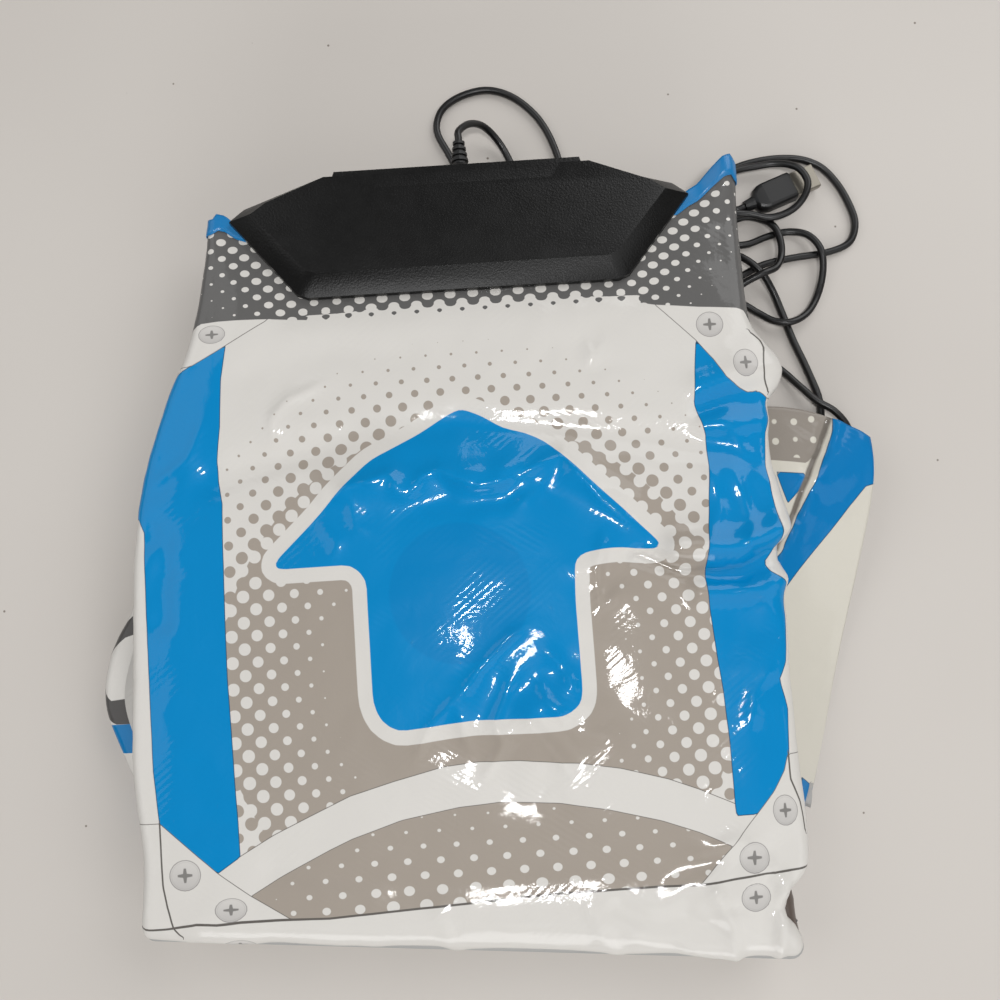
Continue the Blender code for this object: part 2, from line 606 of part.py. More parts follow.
def make_mat(looks):
    """Covers, printed films, foams and backings of the three folded rows."""
    rolled_y = FRONT_FOLD_Y + FOLD_CLEARANCE + ROLL_DEPTH
    roll_stations = [rolled_y - (ROLL_DEPTH - COVER_OUT) * math.sin(a)
                     for a in steps(math.pi / 2, 0.0, ROLL_STEPS)]
    top_stations = roll_stations + steps(rolled_y, SIDE_COLUMN_REAR_Y, ROW_STEPS)[1:]
    top_stations += steps(SIDE_COLUMN_REAR_Y, MAT_REAR_Y, REAR_STEPS)[1:]
    cover = row_sheet("top_row_cover", looks["print"], COVER_OUT, COVER_IN, TOP_CENTRE_Z, False, top_stations,
                      top_edges, top_count=TOP_STEPS, crowned=True, roll=True)
    plain_start = rolled_y + INNER_SHEET_SETBACK
    plain_top = [plain_start] + steps(rolled_y, SIDE_COLUMN_REAR_Y, ROW_STEPS)[1:] + [MAT_REAR_Y]
    film = row_sheet("top_row_film", looks["film"], FILM_OUT, FILM_IN, TOP_CENTRE_Z, False, plain_top,
                     top_edges)
    backing = row_sheet("top_row_backing", looks["backing"], BACKING_OUT, BACKING_IN, TOP_CENTRE_Z, False,
                        plain_top, top_edges)
    for x, y in screw_places():
        if y > MAT_REAR_Y:
            continue
        for sheet in (cover, film, backing):
            bm = bmesh.new()
            post(bm, (x, y), BOSS_RADIUS + MAT_HOLE_CLEARANCE, TOP_CENTRE_Z - COVER_OUT - CUTTER_OVERLAP,
                 TOP_CENTRE_Z + COVER_OUT + CUTTER_OVERLAP)
            cut(sheet, finish_object(sheet.name + "_boss_cutter", bm, looks["film"]))

    plain_row = [plain_start, *ROW_STATIONS, REAR_FOLD_Y - FOLD_CLEARANCE - ROW_END_SETBACK]
    middle_stations = roll_stations + plain_row[1:]
    row_sheet("middle_row_cover", looks["print"], COVER_OUT, COVER_IN, TOP_CENTRE_Z, True, middle_stations,
              row_edges, roll=True)
    row_sheet("middle_row_film", looks["film"], FILM_OUT, FILM_IN, TOP_CENTRE_Z, True, plain_row, row_edges)
    row_sheet("middle_row_backing", looks["backing"], BACKING_OUT, BACKING_IN, TOP_CENTRE_Z, True, plain_row,
              row_edges)
    row_sheet("bottom_row_cover", looks["print"], COVER_OUT, COVER_IN, BOTTOM_CENTRE_Z, False, plain_row,
              row_edges)
    row_sheet("bottom_row_film", looks["film"], FILM_OUT, FILM_IN, BOTTOM_CENTRE_Z, False, plain_row,
              row_edges)
    row_sheet("bottom_row_backing", looks["backing"], BACKING_OUT, BACKING_IN, BOTTOM_CENTRE_Z, False,
              plain_row, row_edges)
    make_binding(looks)
    make_foams(looks)


def make_binding(looks):
    """Blue edging folded round the rear edge of the mat, with its holes at the box left clear."""
    left, right = top_edges(MAT_REAR_Y)
    low = TOP_CENTRE_Z - COVER_OUT - BINDING_GAP
    high = TOP_CENTRE_Z + COVER_OUT + BINDING_GAP
    front = MAT_REAR_Y - BINDING_DEPTH
    rear = MAT_REAR_Y + BINDING_GAP
    profile = [(front, high), (rear, high), (rear, low), (front, low),
               (front, low - BINDING_THICK), (rear + BINDING_THICK, low - BINDING_THICK),
               (rear + BINDING_THICK, high + BINDING_THICK), (front, high + BINDING_THICK)]
    bm = bmesh.new()
    loft(bm, [[(x, y, z) for y, z in profile] for x in (left + BINDING_INSET, right - BINDING_INSET)])
    finish_object("rear_edge_binding", bm, looks["blue"])


def foam_outline(edges):
    """Plan outline of one cell's foam, inside the folds at both sides."""
    front = FRONT_FOLD_Y + FOLD_CLEARANCE + ROLL_DEPTH + FOAM_END
    stations = [front, *FOAM_STATIONS, SIDE_COLUMN_REAR_Y - FOAM_END]
    right = [(edges(y)[1] - FOAM_INSET, y) for y in stations]
    left = [(edges(y)[0] + FOAM_INSET, y) for y in reversed(stations)]
    return [(x, y + fold_shift(x, y)) for x, y in right + left]


def make_foams(looks):
    """Nine foam spacers, and the eight pressure contacts in all but the centre one."""
    top_outline = foam_outline(top_edges)
    row_outline = foam_outline(row_edges)
    row_pad_x = (interpolate(ROW_LEFT_EDGE, PAD_Y) + interpolate(ROW_RIGHT_EDGE, PAD_Y)) / 2
    cells = (
        ("up_right", top_outline, TOP_PAD_X, TOP_CENTRE_Z - 2 * PLY_PITCH, False),
        ("up_left", top_outline, TOP_PAD_X, TOP_CENTRE_Z - PLY_PITCH, False),
        ("up", top_outline, TOP_PAD_X, TOP_CENTRE_Z, True),
        ("right", row_outline, row_pad_x, BOTTOM_CENTRE_Z + 3 * PLY_PITCH, True),
        ("left", row_outline, row_pad_x, BOTTOM_CENTRE_Z + 2 * PLY_PITCH, True),
        ("centre", row_outline, None, BOTTOM_CENTRE_Z + PLY_PITCH, False),
        ("down", row_outline, row_pad_x, BOTTOM_CENTRE_Z, True),
        ("down_left", row_outline, row_pad_x, BOTTOM_CENTRE_Z - PLY_PITCH, False),
        ("down_right", row_outline, row_pad_x, BOTTOM_CENTRE_Z - 2 * PLY_PITCH, False),
    )
    for name, outline, pad_x, centre_z, print_up in cells:
        hole = None if pad_x is None else (pad_x, PAD_Y)
        foam_piece(name + "_foam", looks["foam"], outline, centre_z, print_up, hole)
        if hole:
            pressure_contact(name + "_contact", looks["carbon"], hole, centre_z, print_up)


def flap_point(u, v):
    """Middle surface of the loose flap: u runs outwards, v from its front corner to its rear edge."""
    across = min(max(u, 0.0), 1.0)
    rear = FLAP_REAR_Y - FLAP_REAR_CUT * across ** FLAP_CORNER_POWER
    y = FLAP_FRONT_Y + (rear - FLAP_FRONT_Y) * v
    inner = FLAP_INNER_X + COVER_OUT + TOUCH_GAP
    x = inner + (interpolate(FLAP_EDGE, y) - inner) * u
    raised = FLAP_INNER_Z - FLAP_RAISED_DROP * across
    lying = FLAP_INNER_Z - (FLAP_INNER_Z - PLY_THICK) * across * (1 + FLAP_SAG - FLAP_SAG * across)
    share = min(max((y - FLAP_LIES_Y) / FLAP_LIFT_RUN, 0.0), 1.0)
    share = share * share * (3 - 2 * share)
    return Vector((x, y, lying + (raised - lying) * share))


def make_flap(looks):
    """Side flap of the mat that slipped out of the fold and hangs to the table at the right."""
    grid = []
    for j in range(FLAP_ROWS + 1):
        row = []
        for i in range(FLAP_COLUMNS + 1):
            u = i / FLAP_COLUMNS
            v = j / FLAP_ROWS
            along = flap_point(u + FLAP_SLOPE_STEP, v) - flap_point(u - FLAP_SLOPE_STEP, v)
            across = flap_point(u, v + FLAP_SLOPE_STEP) - flap_point(u, v - FLAP_SLOPE_STEP)
            row.append((flap_point(u, v), along.cross(across).normalized()))
        grid.append(row)
    for name, look, outer, inner in (("side_flap_cover", "print", COVER_OUT, COVER_IN),
                                     ("side_flap_foam", "foam", FOAM_OUT, FOAM_IN),
                                     ("side_flap_backing", "backing", BACKING_OUT, BACKING_IN)):
        bm = bmesh.new()
        thick_sheet(bm, grid, outer, inner, lambda i, j: True)
        finish_object(name, bm, looks[look], smooth=SMOOTH_SHEET)


def make_housings(looks):
    """Upper and lower housing of the control box, with their bosses and screws."""
    top = [(x, y, BOX_TOP_Z) for x, y in box_outline(0.0, BEVEL_WIDTH)]
    shoulder = [(x, y, BOX_SHOULDER_Z) for x, y in box_outline(SHOULDER_INSET)]
    rim = [(x, y, SLOT_TOP_Z) for x, y in box_outline()]
    inner_rim = [(x, y, SLOT_TOP_Z) for x, y in box_outline(WALL)]
    inner_shoulder = [(x, y, BOX_SHOULDER_Z) for x, y in box_outline(WALL + SHOULDER_INSET)]
    ceiling = [(x, y, BOX_TOP_Z - WALL) for x, y in box_outline(WALL, BEVEL_WIDTH)]
    bm = bmesh.new()
    loft(bm, [top, shoulder, rim, inner_rim, inner_shoulder, ceiling])
    upper = finish_object("upper_housing", bm, looks["housing"], smooth=SMOOTH_PART)
    for x, y in screw_places():
        bm = bmesh.new()
        post(bm, (x, y), UPPER_BOSS_RADIUS, SLOT_TOP_Z - BOSS_MEET_DEPTH, BOX_TOP_Z - WALL / 2)
        join(upper, finish_object("upper_boss_helper", bm, looks["housing"]))
    for x, y in screw_places():
        bm = bmesh.new()
        post(bm, (x, y), SCREW_RADIUS + SCREW_CLEARANCE, SLOT_TOP_Z - BOSS_MEET_DEPTH - CUTTER_OVERLAP,
             BOX_TOP_Z - WALL - PILOT_END)
        cut(upper, finish_object("upper_pilot_cutter", bm, looks["housing"]))

    floor = [(x, y, BOX_BOTTOM_Z) for x, y in tray_outline(TRAY_FOOT_INSET)]
    low_edge = [(x, y, BOX_BOTTOM_Z + TRAY_FOOT_RISE) for x, y in tray_outline()]
    wall_top = [(x, y, rear_wall_top(y)) for x, y in tray_outline()]
    inner_top = [(x, y, rear_wall_top(y)) for x, y in tray_outline(WALL)]
    inner_low = [(x, y, BOX_BOTTOM_Z + WALL) for x, y in tray_outline(WALL + TRAY_INNER_DRAFT)]
    bm = bmesh.new()
    loft(bm, [floor, low_edge, wall_top, inner_top, inner_low])
    lower = finish_object("lower_housing", bm, looks["housing"], smooth=SMOOTH_PART)
    bm = bmesh.new()
    deck_half = TRAY_REAR_HALF - WALL / 2
    box_solid(bm, (BOX_X - deck_half, DECK_FRONT_Y, SLOT_TOP_Z - TOUCH_GAP - WALL),
              (BOX_X + deck_half, TRAY_REAR_Y - WALL / 2, SLOT_TOP_Z - TOUCH_GAP))
    join(lower, finish_object("rear_deck_helper", bm, looks["housing"]))
    for x, y in screw_places():
        bm = bmesh.new()
        post(bm, (x, y), BOSS_RADIUS, BOX_BOTTOM_Z + WALL / 2, SLOT_TOP_Z - BOSS_MEET_DEPTH - BOSS_GAP)
        join(lower, finish_object("lower_boss_helper", bm, looks["housing"]))
    for x, y in board_posts():
        bm = bmesh.new()
        post(bm, (x, y), BOARD_POST_RADIUS, BOX_BOTTOM_Z + WALL / 2, BOX_BOTTOM_Z + WALL + BOARD_POST_HEIGHT)
        join(lower, finish_object("board_post_helper", bm, looks["housing"]))
    for x, y in screw_places():
        bm = bmesh.new()
        post(bm, (x, y), SCREW_RADIUS + SCREW_CLEARANCE, BOX_BOTTOM_Z - CUTTER_OVERLAP, SLOT_TOP_Z)
        cut(lower, finish_object("screw_bore_cutter", bm, looks["housing"]))
        bm = bmesh.new()
        post(bm, (x, y), SCREW_HEAD_RADIUS + SCREW_CLEARANCE, BOX_BOTTOM_Z - CUTTER_OVERLAP,
             BOX_BOTTOM_Z + SCREW_HEAD_HEIGHT)
        cut(lower, finish_object("screw_head_cutter", bm, looks["housing"]))
    for x, y in board_posts(screwed_only=True):
        bm = bmesh.new()
        post(bm, (x, y), BOARD_PILOT_RADIUS, BOX_BOTTOM_Z + WALL + BOARD_PILOT_FLOOR,
             BOX_BOTTOM_Z + WALL + BOARD_POST_HEIGHT + CUTTER_OVERLAP)
        cut(lower, finish_object("board_screw_cutter", bm, looks["housing"]))
    bm = bmesh.new()
    across = circle(RELIEF_TIP_RADIUS + LEAD_HOLE_CLEARANCE, (RELIEF_X, RELIEF_Z))
    loft(bm, [[(x, TRAY_REAR_Y + reach, z) for x, z in across] for reach in LEAD_HOLE_REACH])
    cut(lower, finish_object("lead_hole_cutter", bm, looks["housing"]))

    for k, (x, y) in enumerate(screw_places(), 1):
        head = BOX_BOTTOM_Z + SCREW_HEAD_HEIGHT - TOUCH_GAP
        bm = bmesh.new()
        wide = circle(SCREW_HEAD_RADIUS, (x, y), SCREW_SIDES)
        slim = circle(SCREW_RADIUS, (x, y), SCREW_SIDES)
        loft(bm, [[(a, b, BOX_BOTTOM_Z + SCREW_HEAD_RECESS) for a, b in wide],
                  [(a, b, head) for a, b in wide], [(a, b, head) for a, b in slim],
                  [(a, b, BOX_TOP_Z - WALL - SCREW_END) for a, b in slim]])
        finish_object(f"housing_screw_{k}", bm, looks["steel"], smooth=SMOOTH_PART)


def rear_wall_top(y):
    """The tray's walls stop under the mat, and behind the mat they rise to the upper housing."""
    return SLOT_BOTTOM_Z if y < MAT_REAR_Y + REAR_WALL_START else SLOT_TOP_Z - TOUCH_GAP


def board_posts(screwed_only=False):
    for sx, sy in ((-1, -1), (1, 1)) if screwed_only else ((-1, -1), (1, 1), (-1, 1), (1, -1)):
        yield (BOX_X + sx * (BOARD_WIDTH / 2 - BOARD_POST_INSET),
               BOARD_Y + sy * (BOARD_DEPTH / 2 - BOARD_POST_INSET))


def make_electronics(looks):
    """Circuit board, its parts and screws, and the printed tail that comes from the mat."""
    board_low = BOX_BOTTOM_Z + WALL + BOARD_POST_HEIGHT + TOUCH_GAP
    board_high = board_low + BOARD_THICK
    part_z = board_high + SOLDER_GAP
    bm = bmesh.new()
    box_solid(bm, (BOX_X - BOARD_WIDTH / 2, BOARD_Y - BOARD_DEPTH / 2, board_low),
              (BOX_X + BOARD_WIDTH / 2, BOARD_Y + BOARD_DEPTH / 2, board_high))
    board = finish_object("circuit_board", bm, looks["board"])
    for k, (x, y) in enumerate(board_posts(screwed_only=True), 1):
        bm = bmesh.new()
        post(bm, (x, y), BOARD_HOLE_RADIUS, board_low - CUTTER_OVERLAP, board_high + CUTTER_OVERLAP,
             SMALL_ROUND_SIDES)
        cut(board, finish_object("board_hole_cutter", bm, looks["board"]))
        bm = bmesh.new()
        wide = circle(BOARD_SCREW_HEAD_RADIUS, (x, y), SMALL_ROUND_SIDES)
        slim = circle(BOARD_SCREW_RADIUS, (x, y), SMALL_ROUND_SIDES)
        loft(bm, [[(a, b, board_high + BOARD_SCREW_HEAD_TOP) for a, b in wide],
                  [(a, b, board_high + TOUCH_GAP) for a, b in wide],
                  [(a, b, board_high + TOUCH_GAP) for a, b in slim],
                  [(a, b, board_low - BOARD_SCREW_LENGTH) for a, b in slim]])
        finish_object(f"board_screw_{k}", bm, looks["steel"], smooth=SMOOTH_PART)

    def block(name, look, place, width, depth, height):
        bm = bmesh.new()
        x = BOX_X + place[0]
        y = BOARD_Y + place[1]
        box_solid(bm, (x - width / 2, y - depth / 2, part_z), (x + width / 2, y + depth / 2, part_z + height))
        finish_object(name, bm, looks[look])

    block("controller_chip", "chip", CHIP_PLACE, *CHIP_SIZE)
    block("crystal_can", "steel", CRYSTAL_PLACE, *CRYSTAL_SIZE)
    block("tail_connector", "nylon", (TAIL_X, TAIL_Y), *TAIL_CONNECTOR_SIZE, TAIL_CONNECTOR_HEIGHT)
    for k, (x, y) in enumerate(CAPACITOR_PLACES, 1):
        bm = bmesh.new()
        post(bm, (BOX_X + x, BOARD_Y + y), CAPACITOR_RADIUS, part_z, part_z + CAPACITOR_HEIGHT, SCREW_SIDES)
        finish_object(f"board_capacitor_{k}", bm, looks["chip"], smooth=SMOOTH_PART)

    # The tail leaves the film between foam and backing, behind the clamped edge, and dips to its socket
    start_z = SLOT_BOTTOM_Z - TAIL_START_DROP
    left = BOX_X + TAIL_X - TAIL_WIDTH / 2
    right = BOX_X + TAIL_X + TAIL_WIDTH / 2
    line = [(BOX_FRONT_Y + TAIL_START, start_z)] + [(BOARD_Y + y, start_z + z) for y, z in TAIL_BENDS]
    line.append((BOARD_Y + TAIL_Y, part_z + TAIL_CONNECTOR_HEIGHT + TOUCH_GAP))
    bm = bmesh.new()
    loft(bm, [[(left, y, z), (right, y, z), (right, y, z + FILM_THICK), (left, y, z + FILM_THICK)]
              for y, z in line])
    finish_object("film_tail", bm, looks["film"])


def make_wires(looks):
    """The lead's sheathed end inside the box, and its four wires down to the board."""
    bm = bmesh.new()
    end_y = TRAY_REAR_Y - SHEATH_END_DEPTH
    loft(bm, [[(x, y, z) for x, z in circle(RELIEF_TIP_RADIUS, (RELIEF_X, RELIEF_Z), ROUND_SIDES)]
              for y in (end_y, TRAY_REAR_Y)])
    finish_object("lead_sheath_end", bm, looks["rubber"], smooth=SMOOTH_MOULDED)
    board_top = BOX_BOTTOM_Z + WALL + BOARD_POST_HEIGHT + TOUCH_GAP + BOARD_THICK
    landing = BOARD_Y + BOARD_DEPTH / 2 - WIRE_LANDING_INSET
    colours = ("red", "white", "green", "black")
    for k, colour in enumerate(colours):
        aside = WIRE_PITCH * (k - (len(colours) - 1) / 2)
        across = RELIEF_X + aside
        spread = RELIEF_X + WIRE_SPREAD * aside
        route = [Vector((across, end_y - TOUCH_GAP, RELIEF_Z)),
                 Vector((across, end_y - WIRE_STRAIGHT, RELIEF_Z)),
                 Vector((spread, landing + WIRE_ARCH[0], RELIEF_Z + WIRE_ARCH[1])),
                 Vector((spread, landing, RELIEF_Z + WIRE_DROP_RISE)),
                 Vector((spread, landing, board_top + TOUCH_GAP))]
        tube(f"wire_{colour}", smooth_line(route, WIRE_SPAN_STEPS), WIRE_RADIUS, 1, looks["wire_" + colour])


def make_lead(looks):
    """Strain relief, lead, its wires inside the box, and the plug."""
    bm = bmesh.new()
    neck_radius = RELIEF_RADIUS - RELIEF_NECK[1]
    profile = [(TRAY_REAR_Y + TOUCH_GAP, RELIEF_RADIUS), (TRAY_REAR_Y + RELIEF_COLLAR, RELIEF_RADIUS),
               (TRAY_REAR_Y + RELIEF_NECK[0], neck_radius)]
    pitch = (RELIEF_LENGTH - RELIEF_RIB_START) / RELIEF_RIBS
    for k in range(RELIEF_RIBS):
        start = TRAY_REAR_Y + RELIEF_RIB_START + pitch * k
        rib = neck_radius - (neck_radius - RELIEF_TIP_RADIUS) * k / (RELIEF_RIBS - 1)
        groove_end, rib_start, rib_end = [start + share * pitch for share in RELIEF_RIB_PROFILE]
        groove = rib - RELIEF_GROOVE_DEPTH
        profile += [(start, groove), (groove_end, groove), (rib_start, rib), (rib_end, rib)]
    loft(bm, [[(x, y, z) for x, z in circle(radius, (RELIEF_X, RELIEF_Z), ROUND_SIDES)]
              for y, radius in profile])
    finish_object("strain_relief", bm, looks["rubber"], smooth=SMOOTH_MOULDED)

    relief_end = TRAY_REAR_Y + RELIEF_LENGTH + TOUCH_GAP
    plug_direction = Vector((math.cos(PLUG_ANGLE), math.sin(PLUG_ANGLE), 0.0))
    plug_rear = Vector((*PLUG_REAR, PLUG_FLOOR_GAP + PLUG_HEIGHT / 2))
    lead_end = plug_rear - plug_direction * TOUCH_GAP
    route = [Vector((RELIEF_X, relief_end, RELIEF_Z)), Vector((RELIEF_X, relief_end + CORD_RADIUS, RELIEF_Z))]
    route += [Vector(point) for point in LEAD_ROUTE]
    route += [lead_end - plug_direction * CORD_RADIUS * 2, lead_end]
    points = thin_out(smooth_line(route, LEAD_SPAN_STEPS))
    tube("lead", points, CORD_RADIUS, CORD_RESOLUTION, looks["sheath"])
    print("lead length mm", round(sum((b - a).length for a, b in zip(points, points[1:])), 1),
          "points", len(points), "least gap to itself mm", round(least_gap(points), 2))
    make_plug(looks, plug_rear, plug_direction)


def tube(name, points, radius, resolution, look):
    """Round tube with closed ends along a line of points."""
    line = bpy.data.curves.new(name, "CURVE")
    line.dimensions = "3D"
    line.bevel_depth = radius * MM
    line.bevel_resolution = resolution
    line.use_fill_caps = True
    spline = line.splines.new("POLY")
    spline.points.add(len(points) - 1)
    for target, point in zip(spline.points, points):
        target.co = (point.x * MM, point.y * MM, point.z * MM, 1.0)
    line.materials.append(look)
    bpy.context.scene.collection.objects.link(bpy.data.objects.new(name, line))


def smooth_line(route, per_span):
    """Points of a smooth curve through the route, with centripetal spacing."""
    result = []
    count = len(route)
    for k in range(count - 1):
        p0 = route[max(k - 1, 0)]
        p1 = route[k]
        p2 = route[k + 1]
        p3 = route[min(k + 2, count - 1)]
        d1 = max((p1 - p0).length, 0.01) ** 0.5
        d2 = (p2 - p1).length ** 0.5
        d3 = max((p3 - p2).length, 0.01) ** 0.5
        m1 = p2 - p1
        m2 = p2 - p1
        if k > 0:
            m1 = d2 * ((p1 - p0) / d1 - (p2 - p0) / (d1 + d2) + (p2 - p1) / d2)
        if k < count - 2:
            m2 = d2 * ((p2 - p1) / d2 - (p3 - p1) / (d2 + d3) + (p3 - p2) / d3)
        for i in range(per_span):
            t = i / per_span
            result.append((2 * t ** 3 - 3 * t ** 2 + 1) * p1 + (t ** 3 - 2 * t ** 2 + t) * m1
                          + (3 * t ** 2 - 2 * t ** 3) * p2 + (t ** 3 - t ** 2) * m2)
    result.append(route[-1].copy())
    return result


def thin_out(dense):
    """Keep a point wherever the line has turned enough, at two to eight diameters apart."""
    first = LEAD_SPAN_STEPS
    kept = [dense[0], dense[first]]
    distance = 0.0
    heading = (dense[first + 1] - dense[first]).normalized()
    for k in range(first + 1, len(dense) - 1):
        distance += (dense[k] - dense[k - 1]).length
        now = (dense[k + 1] - dense[k]).normalized()
        turned = heading.angle(now, 0.0)
        if distance >= LEAD_LONGEST_STEP or (distance >= LEAD_SHORTEST_STEP and turned >= LEAD_STEP_TURN):
            kept.append(dense[k])
            heading = now
            distance = 0.0
    if (kept[-1] - dense[-1]).length < LEAD_SHORTEST_STEP:
        kept.pop()
    kept += [dense[-first - 1], dense[-1]]
    return kept


def least_gap(points):
    """Least clear distance between stretches of the lead that are not neighbours along it."""
    spans = list(zip(points, points[1:]))
    reach = [0.0]
    for a, b in spans:
        reach.append(reach[-1] + (b - a).length)
    samples = []
    for k, (a, b) in enumerate(spans):
        for i in range(LEAD_GAP_SAMPLES):
            share = i / LEAD_GAP_SAMPLES
            samples.append((a.lerp(b, share), reach[k] + (b - a).length * share))
    least = 1e9
    for i, (p, s) in enumerate(samples):
        for q, t in samples[i + 1:]:
            if t - s > LEAD_NEIGHBOUR_REACH:
                least = min(least, (p - q).length)
    return least - 2 * CORD_RADIUS


def make_plug(looks, rear, direction):
    """Rectangular plug: moulded body, metal shell, insulator and its four contacts."""
    side = Vector((-direction.y, direction.x, 0.0))
    up = Vector((0.0, 0.0, 1.0))

    def section(distance, width, height, corner):
        ring = []
        for sx, sz, start in ((1, 1, 0.0), (-1, 1, 90.0), (-1, -1, 180.0), (1, -1, 270.0)):
            for k in range(CORNER_STEPS + 1):
                angle = math.radians(start + 90.0 * k / CORNER_STEPS)
                a = sx * (width / 2 - corner) + corner * math.cos(angle)
                b = sz * (height / 2 - corner) + corner * math.sin(angle)
                ring.append(rear + direction * distance + side * a + up * b)
        return ring

    bm = bmesh.new()
    chamfer = PLUG_FACE_CHAMFER
    loft(bm, [section(*values) for values in PLUG_NECK_SECTIONS]
         + [section(PLUG_SHOULDER, PLUG_WIDTH, PLUG_HEIGHT, PLUG_CORNER),
            section(PLUG_LENGTH - chamfer, PLUG_WIDTH, PLUG_HEIGHT, PLUG_CORNER),
            section(PLUG_LENGTH, PLUG_WIDTH - 2 * chamfer, PLUG_HEIGHT - 2 * chamfer, PLUG_CORNER - chamfer)])
    finish_object("plug_body", bm, looks["rubber"], smooth=SMOOTH_MOULDED)
    base = PLUG_LENGTH + TOUCH_GAP
    end = base + SHELL_LENGTH
    hollow = (SHELL_WIDTH - 2 * SHELL_WALL, SHELL_HEIGHT - 2 * SHELL_WALL)
    bm = bmesh.new()
    loft(bm, [section(base, SHELL_WIDTH, SHELL_HEIGHT, SHELL_CORNER),
              section(end, SHELL_WIDTH, SHELL_HEIGHT, SHELL_CORNER),
              section(end, *hollow, SHELL_INNER_CORNER), section(base, *hollow, SHELL_INNER_CORNER)],
         closed=True)
    finish_object("plug_shell", bm, looks["nickel"], smooth=SMOOTH_PART)

    def block(bm, distance, length, across, width, low, height):
        ring = ((across - width / 2, low), (across + width / 2, low), (across + width / 2, low + height),
                (across - width / 2, low + height))
        loft(bm, [[rear + direction * d + side * a + up * b for a, b in ring]
                  for d in (distance, distance + length)])

    floor = -hollow[1] / 2 + TOUCH_GAP
    bm = bmesh.new()
    block(bm, base, SHELL_LENGTH - TONGUE_SETBACK, 0.0, hollow[0] - 2 * TOUCH_GAP, floor, TONGUE_HEIGHT)
    finish_object("plug_tongue", bm, looks["nylon"])
    contact_z = floor + TONGUE_HEIGHT + PLUG_CONTACT_GAP
    for k, across in enumerate(PLUG_CONTACTS, 1):
        bm = bmesh.new()
        block(bm, base + PLUG_CONTACT_SETBACK[0], SHELL_LENGTH - PLUG_CONTACT_SETBACK[1], across,
              PLUG_CONTACT_WIDTH, contact_z, PLUG_CONTACT_HEIGHT)
        finish_object(f"plug_contact_{k}", bm, looks["gold"])


def make_looks():
    return {
        "print": material("printed_vinyl", (0.85, 0.85, 0.84), 0.25),
        "blue": material("blue_vinyl", (0.0, 0.24, 0.68), 0.3),
        "film": material("contact_film", (0.75, 0.76, 0.72), 0.4),
        "backing": material("backing_vinyl", (0.55, 0.55, 0.55), 0.7),
        "foam": material("foam", (0.8, 0.8, 0.78), 0.9),
        "carbon": material("carbon_ink", (0.04, 0.04, 0.045), 0.7),
        "housing": material("black_housing", (0.012, 0.012, 0.013), 0.45),
        "board": material("circuit_laminate", (0.02, 0.17, 0.06), 0.5),
        "chip": material("chip_epoxy", (0.02, 0.02, 0.02), 0.6),
        "nylon": material("white_nylon", (0.8, 0.79, 0.75), 0.5),
        "steel": material("zinc_steel", (0.6, 0.6, 0.62), 0.35, 1.0),
        "rubber": material("soft_black_vinyl", (0.015, 0.015, 0.016), 0.5),
        "sheath": material("lead_sheath", (0.012, 0.012, 0.013), 0.4),
        "nickel": material("nickel_shell", (0.62, 0.6, 0.56), 0.3, 1.0),
        "gold": material("gold_contacts", (0.8, 0.6, 0.25), 0.3, 1.0),
        "wire_red": material("red_wire", (0.6, 0.02, 0.02), 0.4),
        "wire_white": material("white_wire", (0.8, 0.8, 0.78), 0.4),
        "wire_green": material("green_wire", (0.02, 0.3, 0.06), 0.4),
        "wire_black": material("black_wire", (0.015, 0.015, 0.015), 0.4),
    }


clear_scene()
LOOKS = make_looks()
make_mat(LOOKS)
make_flap(LOOKS)
make_housings(LOOKS)
make_electronics(LOOKS)
make_wires(LOOKS)
make_lead(LOOKS)
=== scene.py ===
import math

import bmesh
import bpy
import numpy as np
from mathutils import Matrix, Vector


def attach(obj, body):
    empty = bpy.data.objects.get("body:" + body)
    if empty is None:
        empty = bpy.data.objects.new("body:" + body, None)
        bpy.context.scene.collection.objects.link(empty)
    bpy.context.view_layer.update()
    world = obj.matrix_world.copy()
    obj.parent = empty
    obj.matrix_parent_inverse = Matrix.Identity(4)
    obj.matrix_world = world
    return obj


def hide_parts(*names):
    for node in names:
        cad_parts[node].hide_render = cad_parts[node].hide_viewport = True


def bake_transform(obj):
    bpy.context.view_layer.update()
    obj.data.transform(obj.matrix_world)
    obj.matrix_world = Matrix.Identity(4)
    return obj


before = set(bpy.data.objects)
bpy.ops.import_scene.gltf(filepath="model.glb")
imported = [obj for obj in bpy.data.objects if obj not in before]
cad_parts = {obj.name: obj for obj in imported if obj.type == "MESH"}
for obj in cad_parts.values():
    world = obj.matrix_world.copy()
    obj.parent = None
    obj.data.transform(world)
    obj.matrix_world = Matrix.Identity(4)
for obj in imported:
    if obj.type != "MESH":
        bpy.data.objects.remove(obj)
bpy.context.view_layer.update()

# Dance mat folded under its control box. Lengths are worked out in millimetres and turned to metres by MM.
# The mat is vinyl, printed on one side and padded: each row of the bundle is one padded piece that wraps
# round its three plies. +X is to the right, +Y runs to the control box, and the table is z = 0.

MM = 0.001

